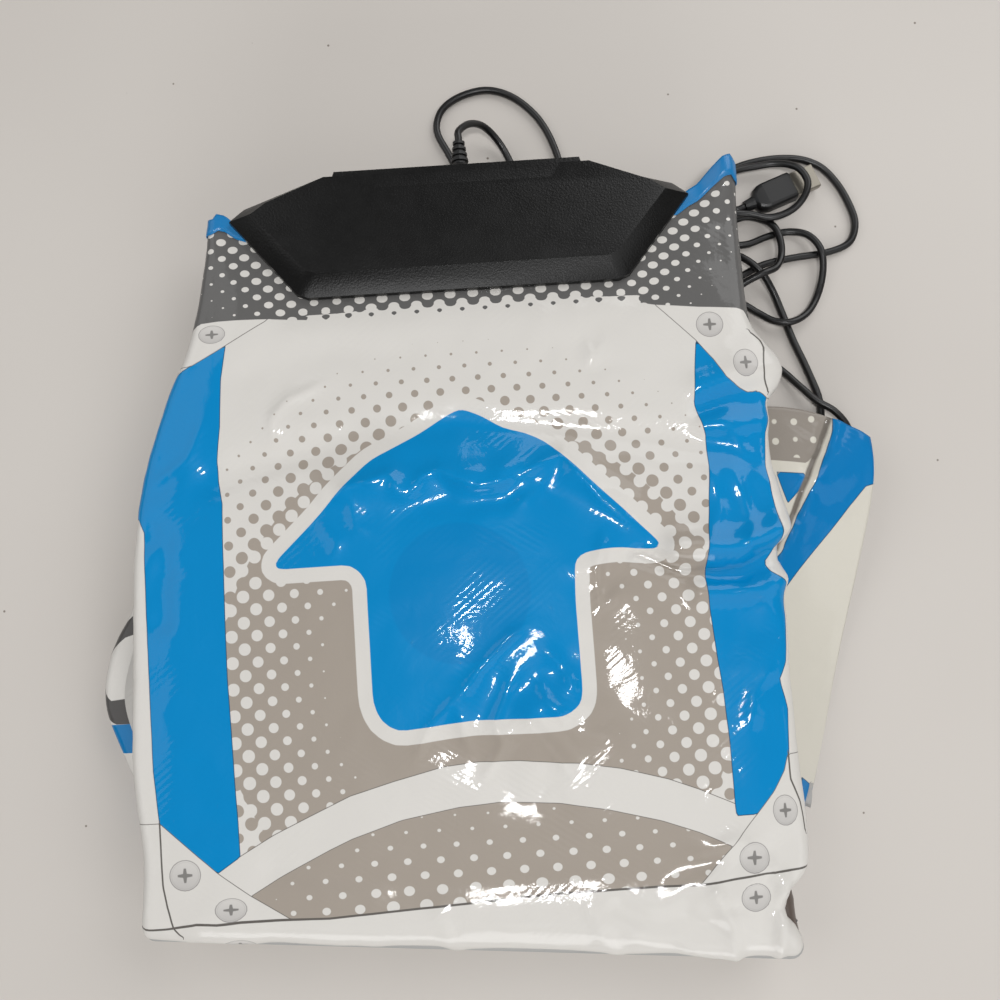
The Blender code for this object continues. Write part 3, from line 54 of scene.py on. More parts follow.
# Heights, folds and outlines of the bundle, as in the part's source
TOP_PLY_Z = 36.4
FOLD_PLANE_Z = 25.65
BOTTOM_PLY_Z = 10.6
SKIN = 2.0
PLY_THICK = 4.0
PLY_PITCH = 4.3
FOLD_SKEW = math.radians(5.0)
SKEW_REAR_Y = -20.0
ROLL_START_Y = -158.4
ROLL_REACH = 14.0
ROLL_DROP = 10.45
ROW_REAR_Y = 118.0
COLUMN_REAR_Y = 117.9
MAT_REAR_Y = 157.0
COLUMN_END_GAP = 12.0
COLUMN_MEET_GAP = 2.0
CROWN_CENTRE = (-14.0, -12.0)
CROWN_REACH = 118.0
CROWN_HEIGHT = 5.0
CROWN_FULLNESS = 0.6
BOX_X = -4.0
BOX_FRONT_Y = 121.5
BOX_FRONT_HALF = 76.0
BOX_TIP_Y = 160.0
BOX_TIP_HALF = 106.0
FLAP_INNER_X = 125.3
FLAP_INNER_Z = 23.5
FLAP_FRONT_Y = -122.0
FLAP_REAR_Y = 62.0
FLAP_REAR_CUT = 17.0
FLAP_CORNER_POWER = 2.5
FLAP_RAISED_DROP = 4.0
FLAP_SAG = 0.25
FLAP_LIES_Y = -70.0
FLAP_LIFT_RUN = 110.0
LEFT_EDGE = (
    (-173, -160.5), (-135, -158), (-95, -161.5), (-45, -160.7), (15, -158.5), (40, -154.6), (64, -148),
    (84, -140.5), (100, -133), (119, -127.5), (140, -123), (157, -120),
)
RIGHT_EDGE = (
    (-173, 126), (-165, 125.5), (-157, 123), (-150, 117), (-143, 122), (-135, 129.5), (-125, 131.5),
    (-73, 130), (-28, 130.5), (-3, 130), (8, 135), (13, 135), (29, 131.5), (44, 130.5), (62, 131.5),
    (70, 137), (79, 139), (90, 132), (97, 127), (111, 125.5), (157, 124.3),
)
ROW_LEFT_EDGE = (
    (-173, -160.5), (-135, -158.5), (-112, -162), (-90, -171), (-60, -180), (-35, -176), (-5, -163),
    (30, -152), (84, -138), (118, -129),
)
ROW_RIGHT_EDGE = (
    (-173, 126.5), (-155, 126), (-125, 122), (50, 122), (65, 119), (90, 99), (100, 97), (118, 97),
)
FLAP_EDGE = ((-124, 137), (-111, 143), (-50, 161), (10, 177), (30, 180.5), (47, 180), (64, 176))

# Zones across a row, from its hidden left column over the centre to its hidden right column
HIDDEN_LEFT, LEFT_FOLD, CENTRE, RIGHT_FOLD, HIDDEN_RIGHT = range(5)

# Print of the top panel: outlines on the panel, seen square to it. A printed screw is (x, y, its radius
# across, its radius along).
ARROW = (
    (-10.3, 66.2), (-17.2, 63), (-28.8, 55.9), (-50, 45.9), (-64, 32.8), (-76.7, 19.8), (-95, 2.7),
    (-93.8, -0.5), (-60.6, -0.5), (-54.4, -7.1), (-54.2, -51.2), (-54.1, -61.1), (-51, -69), (-44.1, -73.9),
    (-33.5, -73.1), (-11, -71), (11.2, -71.6), (28.8, -71.9), (35.5, -67.6), (37.2, -62.4), (37.1, -44.7),
    (36.8, -22.4), (37.6, -4.9), (41.7, -1.6), (48.4, -0.6), (56.3, 0.1), (73.3, -1.7), (75.5, -0.6),
    (75.3, 1.9), (60.1, 17.5), (49, 28.4), (37.8, 40.4), (28.2, 49.6), (19.9, 54), (9.7, 56.8), (0.7, 62.8),
    (-7.3, 66.2),
)
ARROW_CORNER = 4.0
ARROW_BORDER = 6.4
ARC_REAR = (
    (-124.5, -129.1), (-114.8, -122.9), (-99.7, -114.7), (-87.1, -109.2), (-66, -100.2), (-47, -95.2),
    (-25.5, -90.3), (-10.3, -89.1), (8.1, -89.6), (34.4, -92.5), (51.2, -95.6), (71.7, -101.5),
    (84.6, -106.7), (99.1, -113.5), (108.9, -118.6),
)
ARC_FRONT = (
    (-110.7, -139.7), (-98, -132.8), (-88, -128.1), (-76.2, -122.6), (-66.1, -118.4), (-44.5, -111.8),
    (-19.5, -107.8), (-1.7, -106.7), (24.2, -108.8), (45.2, -112.9), (67.7, -119), (83.2, -124.7),
    (96.7, -131.1),
)
FRONT_SIDES = (-111.0, 96.0)
HEM_LINE = (
    (-190, -149.7), (-154, -151.2), (-145.9, -150.7), (-134.3, -149.3), (-125.7, -150), (-116, -149.7),
    (-94.1, -150.2), (-77.5, -150.7), (21.6, -146.5), (52.4, -146.3), (82.2, -146.3), (106.2, -144.1),
    (119.4, -143.2), (150, -141),
)
PLATES = (
    ((-149.4, -107.2), (-124.8, -129.3), (-110.7, -139.7), (-94.1, -150.2), (-94, -400), (-400, -400),
     (-400, -107.2)),
    ((124.6, -94.3), (122.4, -101.2), (117.1, -109.6), (108.9, -118.6), (96.7, -131.5), (82.2, -146.1),
     (82, -400), (400, -400), (400, -94.3)),
    ((-93.8, 113.9), (-113.7, 103), (-130.4, 94.3), (-400, 94.3), (-400, 140), (-93.8, 140)),
    ((82.7, 109.2), (99.7, 91.8), (106.9, 82.4), (111.6, 73.6), (117.1, 68.9), (122, 66.5), (125.7, 67.2),
     (130.6, 63.8), (400, 63.8), (400, 140), (82.7, 140)),
)
FOLD_LINES = (
    ((-149.4, -107.2), (-149.1, -119.6), (-148.6, -133.7), (-147.1, -142.1), (-144.8, -150.9),
     (-142.1, -154.2)),
    ((124.8, -94.3), (124.7, -104.8), (128.2, -114.5), (130.1, -127.6)),
    ((124.3, 94.2), (128.8, 89.5), (129.9, 85.7), (128.9, 78.8), (129, 71.9), (130.9, 66.5)),
)
REAR_ZONE = (
    (-150, 108), (-129.2, 111.2), (-125.3, 113.8), (-117, 114.4), (-93.8, 113.9), (-80, 112.8), (-64, 111.6),
    (-43.3, 109), (-24.5, 108), (39.5, 108), (56, 111), (73, 111.4), (82.7, 109.2), (102.1, 107),
    (119.4, 105.8), (123.4, 104.6), (127, 100), (150, 96),
)
STRIPE_LEFT = (
    (-113.7, 103), (-116.5, 87.3), (-117.4, 65.2), (-119.4, 49.8), (-119.3, 40.3), (-117.5, 30.6),
    (-117.8, 13.1), (-118, -25), (-117.8, -47.4), (-115.3, -107.6), (-114.8, -122.9), (-124.8, -129.3),
    (-149.4, -107.2), (-151.5, -85), (-152.3, -50.4), (-153.1, -10), (-153.2, 20), (-156, 26), (-190, 30),
    (-190, 62), (-130.4, 94.3),
)
STRIPE_RIGHT = (
    (99.7, 91.8), (97.5, 73.6), (96.7, 63.1), (100.6, 47.9), (100.7, 34), (98.9, 12.4), (95.7, -9.7),
    (94.9, -19.8), (96.1, -34), (97.3, -50.7), (98.7, -65.6), (99.6, -87.6), (99.6, -113.6), (99.8, -118.6),
    (108.9, -118.6), (117.1, -109.6), (122.4, -101.2), (125.1, -93.6), (126.2, -74.9), (123.8, -62),
    (127.4, -54.6), (130.4, -26.4), (128.8, -19.7), (123.4, -14.2), (121.7, -10.4), (128.5, -2.8),
    (129.4, 8.8), (126.4, 33), (130, 60), (130.6, 63.8), (125.7, 67.2), (122, 66.5), (117.1, 68.9),
    (111.6, 73.6), (106.9, 82.4),
)
PRINTED_SCREWS = (
    (-119.9, 108.5, 6.2, 4.2), (106.5, 98.6, 6.2, 5.8), (120.7, 79.5, 5.5, 6.4), (-138.8, -129.3, 6.8, 6.5),
    (-119.4, -144.6, 6.9, 4.8), (-117.3, -160.5, 6.8, 3.4), (121.1, -117.8, 5.4, 6.5),
    (106, -136.7, 6.5, 6.6), (105.3, -153.3, 6.5, 5.9),
)
SCREW_DRAWN = 6.8
SCREW_REACH = 14.0
PAST_SCREWS = 30.0
# The pad's disc, inside which painted shade stands for its shallow dent
PAD_CENTRE = (-13.6, -15.8)
PAD_RADIUS = 31.0

# Halftones of the top panel: (distance or place, share of ink or holes), where each begins and ends, and
# the spacing of its dots across and along
TONE_CENTRE = (-8.0, -53.0)
TONE_CURVE = (
    (66, 1), (71, 0.97), (77, 0.94), (85, 0.86), (90, 0.79), (98, 0.71), (106, 0.62), (112, 0.54),
    (115, 0.46), (118, 0.36), (122, 0.25), (127, 0.16), (135, 0.07), (141, 0.035), (147, 0.012), (152, 0),
)
TONE_SIDES = (-132.0, 116.0)
TONE_REAR_Y = 104.0
FRONT_HOLES = (
    (0, 0.26), (5, 0.21), (11, 0.123), (17.5, 0.095), (24, 0.058), (30, 0.023), (36, 0.012), (42, 0),
)
FRONT_SPREAD = (
    (-100, 0), (-93, 0.2), (-79, 0.44), (-65, 0.62), (-52, 1), (48, 1), (62, 0.58), (76, 0.44), (90, 0.2),
    (100, 0),
)
REAR_HOLES = (
    (0, 0.31), (9, 0.31), (11, 0.28), (13, 0.26), (15, 0.21), (18, 0.18), (22, 0.12), (25, 0.1), (30, 0.05),
    (36, 0),
)
REAR_SHAPE_Y = 190.0
STRIP_TONE = 0.78
STRIP_MIDDLE_LIGHTER = 0.2
STRIP_MIDDLE_NARROWER = 1.0
STRIP_REACH = (5.0, 9.5)
STRIP_MIDDLE = (-66.0, -40.0, 40.0, 66.0)
STRIP_ENDS = (-84.0, -74.0, 70.0, 80.0)
DOT_LARGEST = 0.345
PANEL_PITCH = (8.15, 8.15)
FRONT_PITCH = (10.1, 8.7)
REAR_PITCH = (7.35, 5.5)

# Print of the lower rows, of which only the folds show: a block is (middle, half length)
ROW_BLOCKS = ((-71.5, 6.5), (-104.0, 12.0))
ROW_BLOCKS_END = -150.0
ROW_RING_CENTRE = (-205.0, -35.0)
ROW_RING_RADIUS = 30.0
ROW_RING_HALF = 5.0
# Corner of the lower rows that shows in the notch: taupe print, darkened with painted shade
ROW_TAUPE_SHADE = (110.0, -128.0)

# Print and crease of the loose side flap: the crease is a valley of (height, width) with a shoulder of
# (height, distance, width), and the film beside it is crumpled by (scale, share, width)
FLAP_GREY = (
    (120, 70), (134.8, 64), (150.9, 60), (163.3, 60), (159.6, 49.9), (154.8, 39.3), (149, 34.6),
    (129.6, 37.1), (118, 38),
)
FLAP_TRIANGLE = ((134.2, 31.1), (147.1, 29.8), (148, 27.6), (147.4, 24.8), (138.4, 16.7))
FLAP_TIP = ((134.5, -108), (144, -116), (144, -130), (134, -130))
FLAP_BAND = (
    (164.1, 64), (190, 64), (190, 26), (176.1, 22.6), (134.6, -21), (120, -38), (120, -22), (133.7, -4.9),
    (140.6, 7.5), (150.6, 23.9), (158.5, 39.1), (162.4, 49.1),
)
FLAP_CREASE = (
    (163.3, 59), (159.6, 49.9), (154.8, 39.3), (148.7, 28.9), (141.2, 12.2), (132.4, -1.1), (126, -12),
)
FLAP_VALLEY = (-1.3, 1.8)
FLAP_SHOULDER = (1.0, 5.0, 3.0)
FLAP_FILM_SCALE = 1.3
FLAP_CRUMPLE = (2.6, 0.55, 5.0)
FLAP_EDGE_FADE = (-0.5, 6.0)
FLAP_GRID = (121, 37)
FLAP_STEP = 0.01

# Lead: straight out of its relief, then the loops of the photograph, to the plug
LEAD_RADIUS = 1.75
LEAD_EXIT = (-2.5, 199.3, 26.0)
LEAD_STEPS = 5
PLUG_ANGLE = math.radians(20.5)
PLUG_REAR = (136.3, 166.4, 4.3)
PLUG_GAP = 0.3
LEAD_ROUTE = (
    (-2.5, 204, 25.5), (3, 210.5, 20), (10, 212.5, 12), (17, 207, 6), (23, 195, 3), (26.5, 180, 2),
    (31, 167.5, 2), (39, 162.5, 2), (46.5, 169, 2), (48.5, 182, 2), (47, 195, 2), (42.5, 210.5, 2),
    (36, 222, 2), (24.5, 232.5, 2), (12, 236.5, 2), (-3, 233, 2), (-11, 226.5, 2), (-13.5, 217, 2),
    (-7.5, 202.5, 2), (-2, 188, 2), (1, 173, 2), (-3, 161, 2), (-15, 154, 2), (-40, 152, 2), (-70, 151, 2),
    (-92, 148, 2), (-101, 139.5, 2), (-93, 130.5, 2), (-70, 127.5, 2), (-30, 128, 2), (20, 132, 2),
    (62, 141, 2), (92, 158, 2), (113, 177, 2), (133.5, 187.5, 2), (146.5, 190.5, 2), (158, 191, 2),
    (167.5, 189.6, 2), (176, 185.4, 2), (182.5, 177.8, 2), (188, 166.5, 2), (190.5, 155, 2), (187, 146, 2),
    (177.5, 141.8, 2), (157.5, 139.5, 2), (143, 137, 2), (134, 133, 2), (125.5, 129, 2), (117, 129.8, 2),
    (112.3, 136.5, 2), (117, 143.4, 2), (126, 143.8, 3.2), (134, 139.1, 5.8), (140.8, 132, 6.4),
    (146.4, 123, 3.4), (150.3, 112.1, 2), (154.4, 98.3, 2), (160, 82.9, 2), (164.5, 67, 2), (163.8, 54, 2),
    (162, 44.5, 2), (165.6, 35.6, 2), (173.6, 35.6, 2), (177.2, 44, 3), (175.6, 53.5, 5), (169.6, 61, 6.8),
    (162, 66.5, 6.4), (154.5, 75, 4.4), (147, 84, 2), (136, 92.5, 2), (125.5, 100, 2), (120.5, 108.5, 2),
    (123, 116.3, 2), (130, 118.2, 2.2), (138, 112.8, 3), (145.2, 107.6, 5), (152.7, 106.2, 6.4),
    (161.4, 110.3, 4.4), (167.9, 119.1, 3), (171.5, 131.5, 4.8), (170.8, 142, 6.4), (165.6, 150.2, 4.2),
    (157.1, 153, 2), (147, 151.3, 2), (135.5, 147.8, 2), (127.6, 148.9, 2.2), (123.2, 154.8, 5.2),
    (127.8, 161.2, 7.8), (136.5, 161.4, 7.6), (147.2, 158.6, 8.2), (157.6, 161.2, 9.4), (163.6, 166.6, 11),
    (166.2, 174, 11.6), (163, 181.2, 11), (158, 184.8, 9), (151.5, 186.4, 7), (143, 185.9, 6.2),
    (132.7, 184.4, 6.2), (124.8, 180.6, 7.2), (119.8, 174, 7.4), (118.6, 167, 6), (121.5, 161.8, 3.6),
    (129, 160.4, 2.4), (136.8, 162, 2), (143.5, 160.4, 2.4), (149.2, 155.2, 5.6), (151.6, 147.6, 6.4),
    (151.4, 139.8, 6.4), (147.8, 133.4, 8.6), (141.6, 130.4, 10.8), (134, 127.4, 9.8), (125.5, 123.2, 8),
    (117, 121.2, 6), (110, 124.2, 3.4), (106.8, 132, 2), (106.2, 148, 2), (107, 161.5, 2), (111.6, 170, 2),
    (118.5, 173.6, 2.2), (124.2, 171.4, 2.8), (127.2, 167.6, 3.5), (129.9, 165.5, 4),
)

# Inks of the print
PRINT_WHITE = "#d0cdc8"
PRINT_BLUE = "#0080bd"
BLUE_RIM = "#174a68"
# Colour of the painted shade inside the pad's disc, not an ink
PAD_SHADE_BLUE = "#0a5f9c"
PRINT_TAUPE = "#9d948a"
PRINT_GREY = "#605f5e"
PRINT_LINE = "#5f5b57"
FLAP_WHITE = "#cbc7bc"

CAMERA_PLACE = (6.5, -29.7, 515.0)
CAMERA_TILT = math.radians(6.5)
CAMERA_ROLL = math.radians(3.6)
CAMERA_LENS = 38.592

# The top panel's own forms in the photograph: its rear edge, its folds and ridges as (line, height, width),
# and the places where its film is pinched, as (x, y, reach across, reach along, share). The box holds the
# panel flat, air plumps its edges, and its rear tips curl up.
REAR_CORNERS = (
    (-118.4, 160.7), (-115.9, 164.4), (-112.2, 163.4), (-107.5, 159), (-103, 157), (96, 157), (101.8, 161.7),
    (106.5, 164.3), (112.6, 170.2), (118.1, 174.7), (122, 176), (126, 168),
)
REAR_SIDES = (-117.5, 123.5)
PANEL_FOLDS = (
    (((-122, 42), (-82, 51), (-59, 56), (-37, 59), (-9, 60), (17, 56), (44, 53), (71, 49), (98, 44),
     (126, 38)), -2.6, 7.5),
    (((-70, 33), (-35, 37), (0, 36), (35, 37), (62, 22)), 2.2, 7),
    (((66, -4), (84, -12), (100, -14.5), (112, -14), (122, -9), (140, -3)), -5.6, 2.8),
    (((84, -2), (108, -3), (130, 4)), 5.4, 6.5),
    (((92, -22), (110, -23), (130, -18)), 3.2, 5),
    (((98, 60), (112, 63.6), (132, 66)), -2.6, 4),
    (((100, 71), (126, 77)), 2, 6),
    (((100, 52), (128, 54)), 1.6, 5),
    (((-104, 88), (-66, 96), (-34, 93)), -1, 9),
    (((-160, 22), (-144, 14), (-146, -20)), -1.2, 5),
    (((-100, -128), (-40, -141), (60, -141), (110, -136)), -0.8, 6),
    (((46, -154), (60, -162), (74, -160), (88, -166), (100, -173)), -1.5, 3.6),
    (((52, -168), (72, -172), (90, -180)), 1.4, 4.5),
    (((112, -146), (110, -160), (106, -178)), -1.8, 3.4),
    (((119, -146), (117, -160), (114, -180)), 1.8, 2.6),
    (((-30, -158), (0, -166), (30, -170)), -0.9, 4),
    (((88, -150), (94, -164), (96, -180)), 1.6, 3),
    (((10, -167), (50, -172), (84, -167)), -1.4, 5),
    (((-104, -164), (-60, -172), (-10, -166)), -1.2, 5),
    (((34, -154), (44, -176)), 0.9, 4),
    (((-30, -154), (-24, -178)), 0.9, 4),
)
PANEL_RIDGES = (
    (((-69.4, 27), (-60.5, 34.1), (-48.3, 36.5), (-41.9, 38.8), (-38.7, 31.8), (-34.5, 27)), 2, 2.4),
    (((-34.5, 27), (-27.2, 36.9), (-19.5, 39.2), (-13, 34.7), (-3, 30.4), (14.2, 32.9)), 2, 2.4),
    (((14.2, 32.9), (27.7, 40.2), (34.6, 43), (45, 31), (51, 21.6), (67.7, 7.1)), 1.9, 2.5),
    (((-60, 30), (-58, 16), (-50, 12)), 1.3, 2.2),
    (((-76, 20), (-66, 10), (-70, 2)), 1.2, 2.4),
    (((30, 38), (22, 26), (12, 20)), 1.2, 2.2),
    (((51.8, 8.1), (47.2, -11.6), (47, -27), (59.1, -18.1)), 1.7, 2.2),
    (((-16.7, -59.2), (-30.1, -73), (-38, -88)), 1.8, 2.2),
    (((-17, -66), (-16, -75), (-12.2, -86.5)), 1.6, 2),
    (((7.7, -52), (-1.7, -72.6), (1.2, -81.8), (-9.9, -99)), 2, 2.2),
    (((9.6, -68), (21.5, -83.9), (30.9, -98.9)), 2.2, 3.2),
    (((16.7, -52), (20.7, -62.8), (33.2, -80)), 2, 2.4),
    (((15.3, -32), (7.6, -35.5), (-6.4, -48.6), (-17.3, -62.2)), 2, 2.4),
    (((20, -40), (30, -52), (36, -66)), 1.6, 2.2),
    (((-68.7, 82.5), (-86.2, 75.8), (-93.3, 68), (-94.1, 56)), 1.8, 2.4),
    (((49.7, 96.7), (51.2, 86.4), (58.4, 94)), 1.5, 2.2),
    (((82.8, -132), (100.3, -128.9), (112.2, -139.2), (116.9, -152)), 1.8, 2.4),
    (((97, -3), (104, 16), (100, 36)), 1.4, 2.6),
    (((112, 30), (118, 8), (114, -8)), 1.7, 2.6),
    (((104, -20), (120, -24), (126, -36)), 1.5, 2.6),
    (((110, 50), (118, 40), (128, 36)), 1.5, 2.6),
    (((124, -54), (112, -66), (108, -84)), 1.2, 2.6),
    (((-150, 40), (-132, 52), (-124, 70)), 1, 2.6),
)
PANEL_CREASED = (
    (12, -72, 42, 36, 0.75), (-8, 32, 76, 16, 0.6), (118, 0, 18, 80, 0.6), (106, -150, 40, 24, 0.7),
    (-146, 10, 13, 70, 0.4), (52, 88, 26, 16, 0.4), (-86, 72, 22, 18, 0.35), (0, -176, 150, 14, 0.45),
    (122, 84, 16, 20, 0.6), (52, -16, 20, 24, 0.5), (-140, -150, 24, 20, 0.4),
)
FLAP_CREASED = ((160, 30, 22, 30, 0.35), (150, -60, 40, 60, 0.14), (178, 40, 8, 24, 0.5))
RIDGE_END_SHARE = 0.35
RIDGE_END_FADE = 8.0
FILM_SHARE = 0.13
FILM_SHIFT = 7.0
BOX_FLARE = 0.78
BOX_MARGIN = 2.0
BOX_HOLD_FADE = 22.0
BOX_HOLD_Y = (104.0, 119.0)
EDGE_PLUMP = 1.5
EDGE_PLUMP_REACH = 22.0
EDGE_PLUMP_Y = (-176.0, -150.0)
FOAM_DEPTH = 0.45
FOAM_GIVE = 0.4
ROLL_LEAST = 0.05
ROLL_SINK = 1.4
ROLL_SINK_ANGLES = (0.8, 1.4)
ROLL_PRINT_SHARE = 0.88
TIP_CURL = 6.0
TIP_CURL_Y = (146.0, 172.0)
TIP_CURL_BESIDE = (2.0, 16.0)

# Padded pieces, the edging and the strips round the folds
PAD_THICK = 3.9
EDGING_LIFT = 0.35
EDGING_REACH = 4.25
EDGING_NOSE = 0.7
EDGING_NOSE_DEPTHS = (-1.0, -2.0, -3.0)
EDGING_THICK = 0.45
EDGING_ROWS = 4
EDGING_ROW_PRINT = 2.0
FOLD_RELIEF_SHARE = 0.3
FLAT_RELIEF_SHARE = 0.06
FRONT_STRIP_STEPS = 6
FRONT_STRIP_PRINT = 0.8
REAR_STRIP_INSETS = (4.0, 6.0)
REAR_STRIP_GRID = (17, 60)
REAR_STRIP_Z = 12.75
REAR_STRIP_HALF = 12.6
REAR_STRIP_SETBACK = 0.4
REAR_STRIP_SWELL = 3.4
REAR_STRIP_WAVES = ((0.25, 23.0), (0.15, 7.0))
REAR_STRIP_THICK = 1.2

# Cloth run of the film: its size, the waves that it starts from, and how the padding holds it
FILM_SIZE = 300.0
FILM_CELLS = 160
FILM_FRAMES = 20
FILM_SEED = 5
FILM_WAVES = 14
FILM_WAVE_LENGTHS = (12, 60)
FILM_WAVE_RISE = 0.1
FILM_TRIAL_SCALE = 10
FILM_RIM = 0.5
FILM_HELD = 0.01
FILM_CLOTH = {"quality": 6, "mass": 0.3, "tension_stiffness": 80.0, "compression_stiffness": 80.0,
              "shear_stiffness": 40.0, "bending_stiffness": 8.0, "tension_damping": 10.0,
              "compression_damping": 10.0, "shear_damping": 10.0, "bending_damping": 1.0, "air_damping": 2.0,
              "pin_stiffness": 1.0, "shrink_min": -0.015}

# Finish of each CAD node that keeps its own shape, by the start or the end of its name
NODE_LOOKS = {
    "strain_relief": "relief", "plug_body": "relief", "plug_shell": "nickel", "plug_tongue": "nylon",
    "plug_contact": "gold", "lead_sheath": "relief", "circuit_board": "laminate", "controller_chip": "chip",
    "board_capacitor": "chip", "crystal_can": "steel", "tail_connector": "nylon", "board_screw": "steel",
    "housing_screw": "steel", "film_tail": "film", "wire_red": "red", "wire_white": "white",
    "wire_green": "green", "wire_black": "relief", "_contact": "carbon", "_foam": "foam",
}

# Lights of the room: place, size and power of each, all aimed at the middle of the table
LAMPS = (
    ("window_front", (1.0, -1.3, 1.25), (2.0, 1.6), 8.5),
    ("window_right", (1.2, 1.3, 1.4), (2.0, 1.6), 26.0),
    ("window_left", (-1.5, 0.4, 1.4), (2.0, 1.6), 11.5),
    ("low_front", (-0.1, -1.75, 0.62), (1.4, 0.6), 12.0),
    ("ceiling_lamp", (0.088, -0.22, 1.47), (0.22, 0.13), 7.6),
)
ROOM_GREY = "#f2f1ef"
ROOM_STRENGTH = 0.15
TABLE_HALF = 1.5
SHELL_EDGES = (("upper_shell", "upper_housing", 3.4), ("lower_shell", "lower_housing", 1.2))


def linear(code):
    """An sRGB hex value as a linear colour."""
    parts = [int(code[i:i + 2], 16) / 255 for i in (1, 3, 5)]
    return (*[c / 12.92 if c <= 0.04045 else ((c + 0.055) / 1.055) ** 2.4 for c in parts], 1.0)


def add(tree, kind, settings=None, links=None):
    """Add a shader node with its settings and links, and give the node back."""
    made = tree.nodes.new("ShaderNode" + kind)
    settings = settings or {}
    own = [key for key in settings if isinstance(key, str) and hasattr(made, key)]
    for key in own:
        setattr(made, key, settings[key])
    for key, value in settings.items():
        if key not in own:
            made.inputs[key].default_value = value
    for key, source in (links or {}).items():
        tree.links.new(source if isinstance(source, bpy.types.NodeSocket) else source.outputs[0],
                       made.inputs[key])
    return made


def finish_named(name, settings):
    """A new material for one real finish, its tree and its shader."""
    made = bpy.data.materials.new(name)
    made.use_nodes = True
    tree = made.node_tree
    shader = tree.nodes["Principled BSDF"]
    for key, value in settings.items():
        shader.inputs[key].default_value = value
    return made, tree, shader


def put(name, data):
    """A new object in the scene."""
    made = bpy.data.objects.new(name, data)
    bpy.context.scene.collection.objects.link(made)
    return made


def mesh_from(bm, name):
    mesh = bpy.data.meshes.new(name)
    bm.to_mesh(mesh)
    bm.free()
    return mesh


def cubic(t, p1, m1, p2, m2):
    """Point at t between two points, with the direction at each."""
    return ((2 * t ** 3 - 3 * t ** 2 + 1) * p1 + (t ** 3 - 2 * t ** 2 + t) * m1
            + (3 * t ** 2 - 2 * t ** 3) * p2 + (t ** 3 - t ** 2) * m2)


def smooth_value(table, value):
    """Value between the listed pairs, by a cubic through neighbouring points, as in the part's source."""
    if value <= table[0][0]:
        return table[0][1]
    if value >= table[-1][0]:
        return table[-1][1]
    k = max(i for i in range(len(table) - 1) if table[i][0] <= value)
    (x0, y0), (x1, y1) = table[k], table[k + 1]
    before = table[max(k - 1, 0)]
    after = table[min(k + 2, len(table) - 1)]
    width = x1 - x0
    slope0 = (y1 - before[1]) / (x1 - before[0])
    slope1 = (after[1] - y0) / (after[0] - x0)
    return cubic((value - x0) / width, y0, width * slope0, y1, width * slope1)


def table_values(table, values):
    return np.interp(values, [p[0] for p in table], [p[1] for p in table])


def smoothstep(low, high, values):
    t = np.clip((values - low) / (high - low), 0.0, 1.0)
    return t * t * (3 - 2 * t)


def plateau(values, rise_start, rise_end, fall_start, fall_end):
    """1 between the rise and the fall, and 0 past them."""
    return smoothstep(rise_start, rise_end, values) * (1 - smoothstep(fall_start, fall_end, values))


def line_side(points, line, closed=False):
    """Distance from each of many points in the plane to a line of straight pieces, less than zero at its
    right hand."""
    starts = np.array(line, float)
    stops = np.roll(starts, -1, axis=0)
    side = np.full(len(points), 1e9)
    for a, b in list(zip(starts, stops))[:None if closed else -1]:
        along = b - a
        t = np.clip(((points - a) @ along) / max(along @ along, 1e-9), 0.0, 1.0)
        away = points - a - t[:, None] * along
        distance = np.hypot(away[:, 0], away[:, 1])
        signed = np.where(along[0] * away[:, 1] - along[1] * away[:, 0] < 0, -distance, distance)
        side = np.where(distance < np.abs(side), signed, side)
    return side


def line_distance(points, line, closed=False):
    return np.abs(line_side(points, line, closed))


def shape_distance(points, outline):
    """Distance to a closed outline in the plane, less than zero inside it."""
    corners = np.array(outline, float)
    inside = np.zeros(len(points), bool)
    for a, b in zip(corners, np.roll(corners, -1, axis=0)):
        crosses = (a[1] > points[:, 1]) != (b[1] > points[:, 1])
        rise = b[1] - a[1] if abs(b[1] - a[1]) > 1e-9 else 1e-9
        inside ^= crosses & (points[:, 0] < (b[0] - a[0]) * (points[:, 1] - a[1]) / rise + a[0])
    return line_distance(points, corners, closed=True) * np.where(inside, -1.0, 1.0)


def nearest_shape(points, outlines):
    return np.min([shape_distance(points, outline) for outline in outlines], axis=0)


def rounded(outline, radius):
    """The outline with each corner replaced by three points of an arc of about this reach."""
    corners = [np.array(p, float) for p in outline]
    result = []
    for k, corner in enumerate(corners):
        ends = []
        for other in (corners[k - 1], corners[(k + 1) % len(corners)]):
            away = other - corner
            length = np.linalg.norm(away)
            ends.append(corner + away / length * min(radius, 0.4 * length))
        result += [ends[0], (ends[0] + 2 * corner + ends[1]) / 4, ends[1]]
    return result


def above_line(points, line):
    """Distance to a line that runs across the panel, more than zero behind it."""
    return line_distance(points, line) * np.sign(points[:, 1] - table_values(line, points[:, 0]))


def place_camera():
    """Camera where the photographer held theirs: above the mat, 6.5 degrees off the vertical."""
    across = Vector((1.0, 0.0, 0.0))
    upward = Vector((0.0, math.cos(CAMERA_TILT), math.sin(CAMERA_TILT)))
    forward = Vector((0.0, math.sin(CAMERA_TILT), -math.cos(CAMERA_TILT)))
    right = across * math.cos(CAMERA_ROLL) - upward * math.sin(CAMERA_ROLL)
    up = across * math.sin(CAMERA_ROLL) + upward * math.cos(CAMERA_ROLL)
    data = bpy.data.cameras.new("photo_camera")
    data.lens = CAMERA_LENS
    data.clip_start = 0.01
    camera = put("photo_camera", data)
    turn = Matrix((right, up, -forward)).transposed().to_4x4()
    camera.matrix_world = Matrix.Translation(Vector(CAMERA_PLACE) * MM) @ turn
    bpy.context.scene.camera = camera


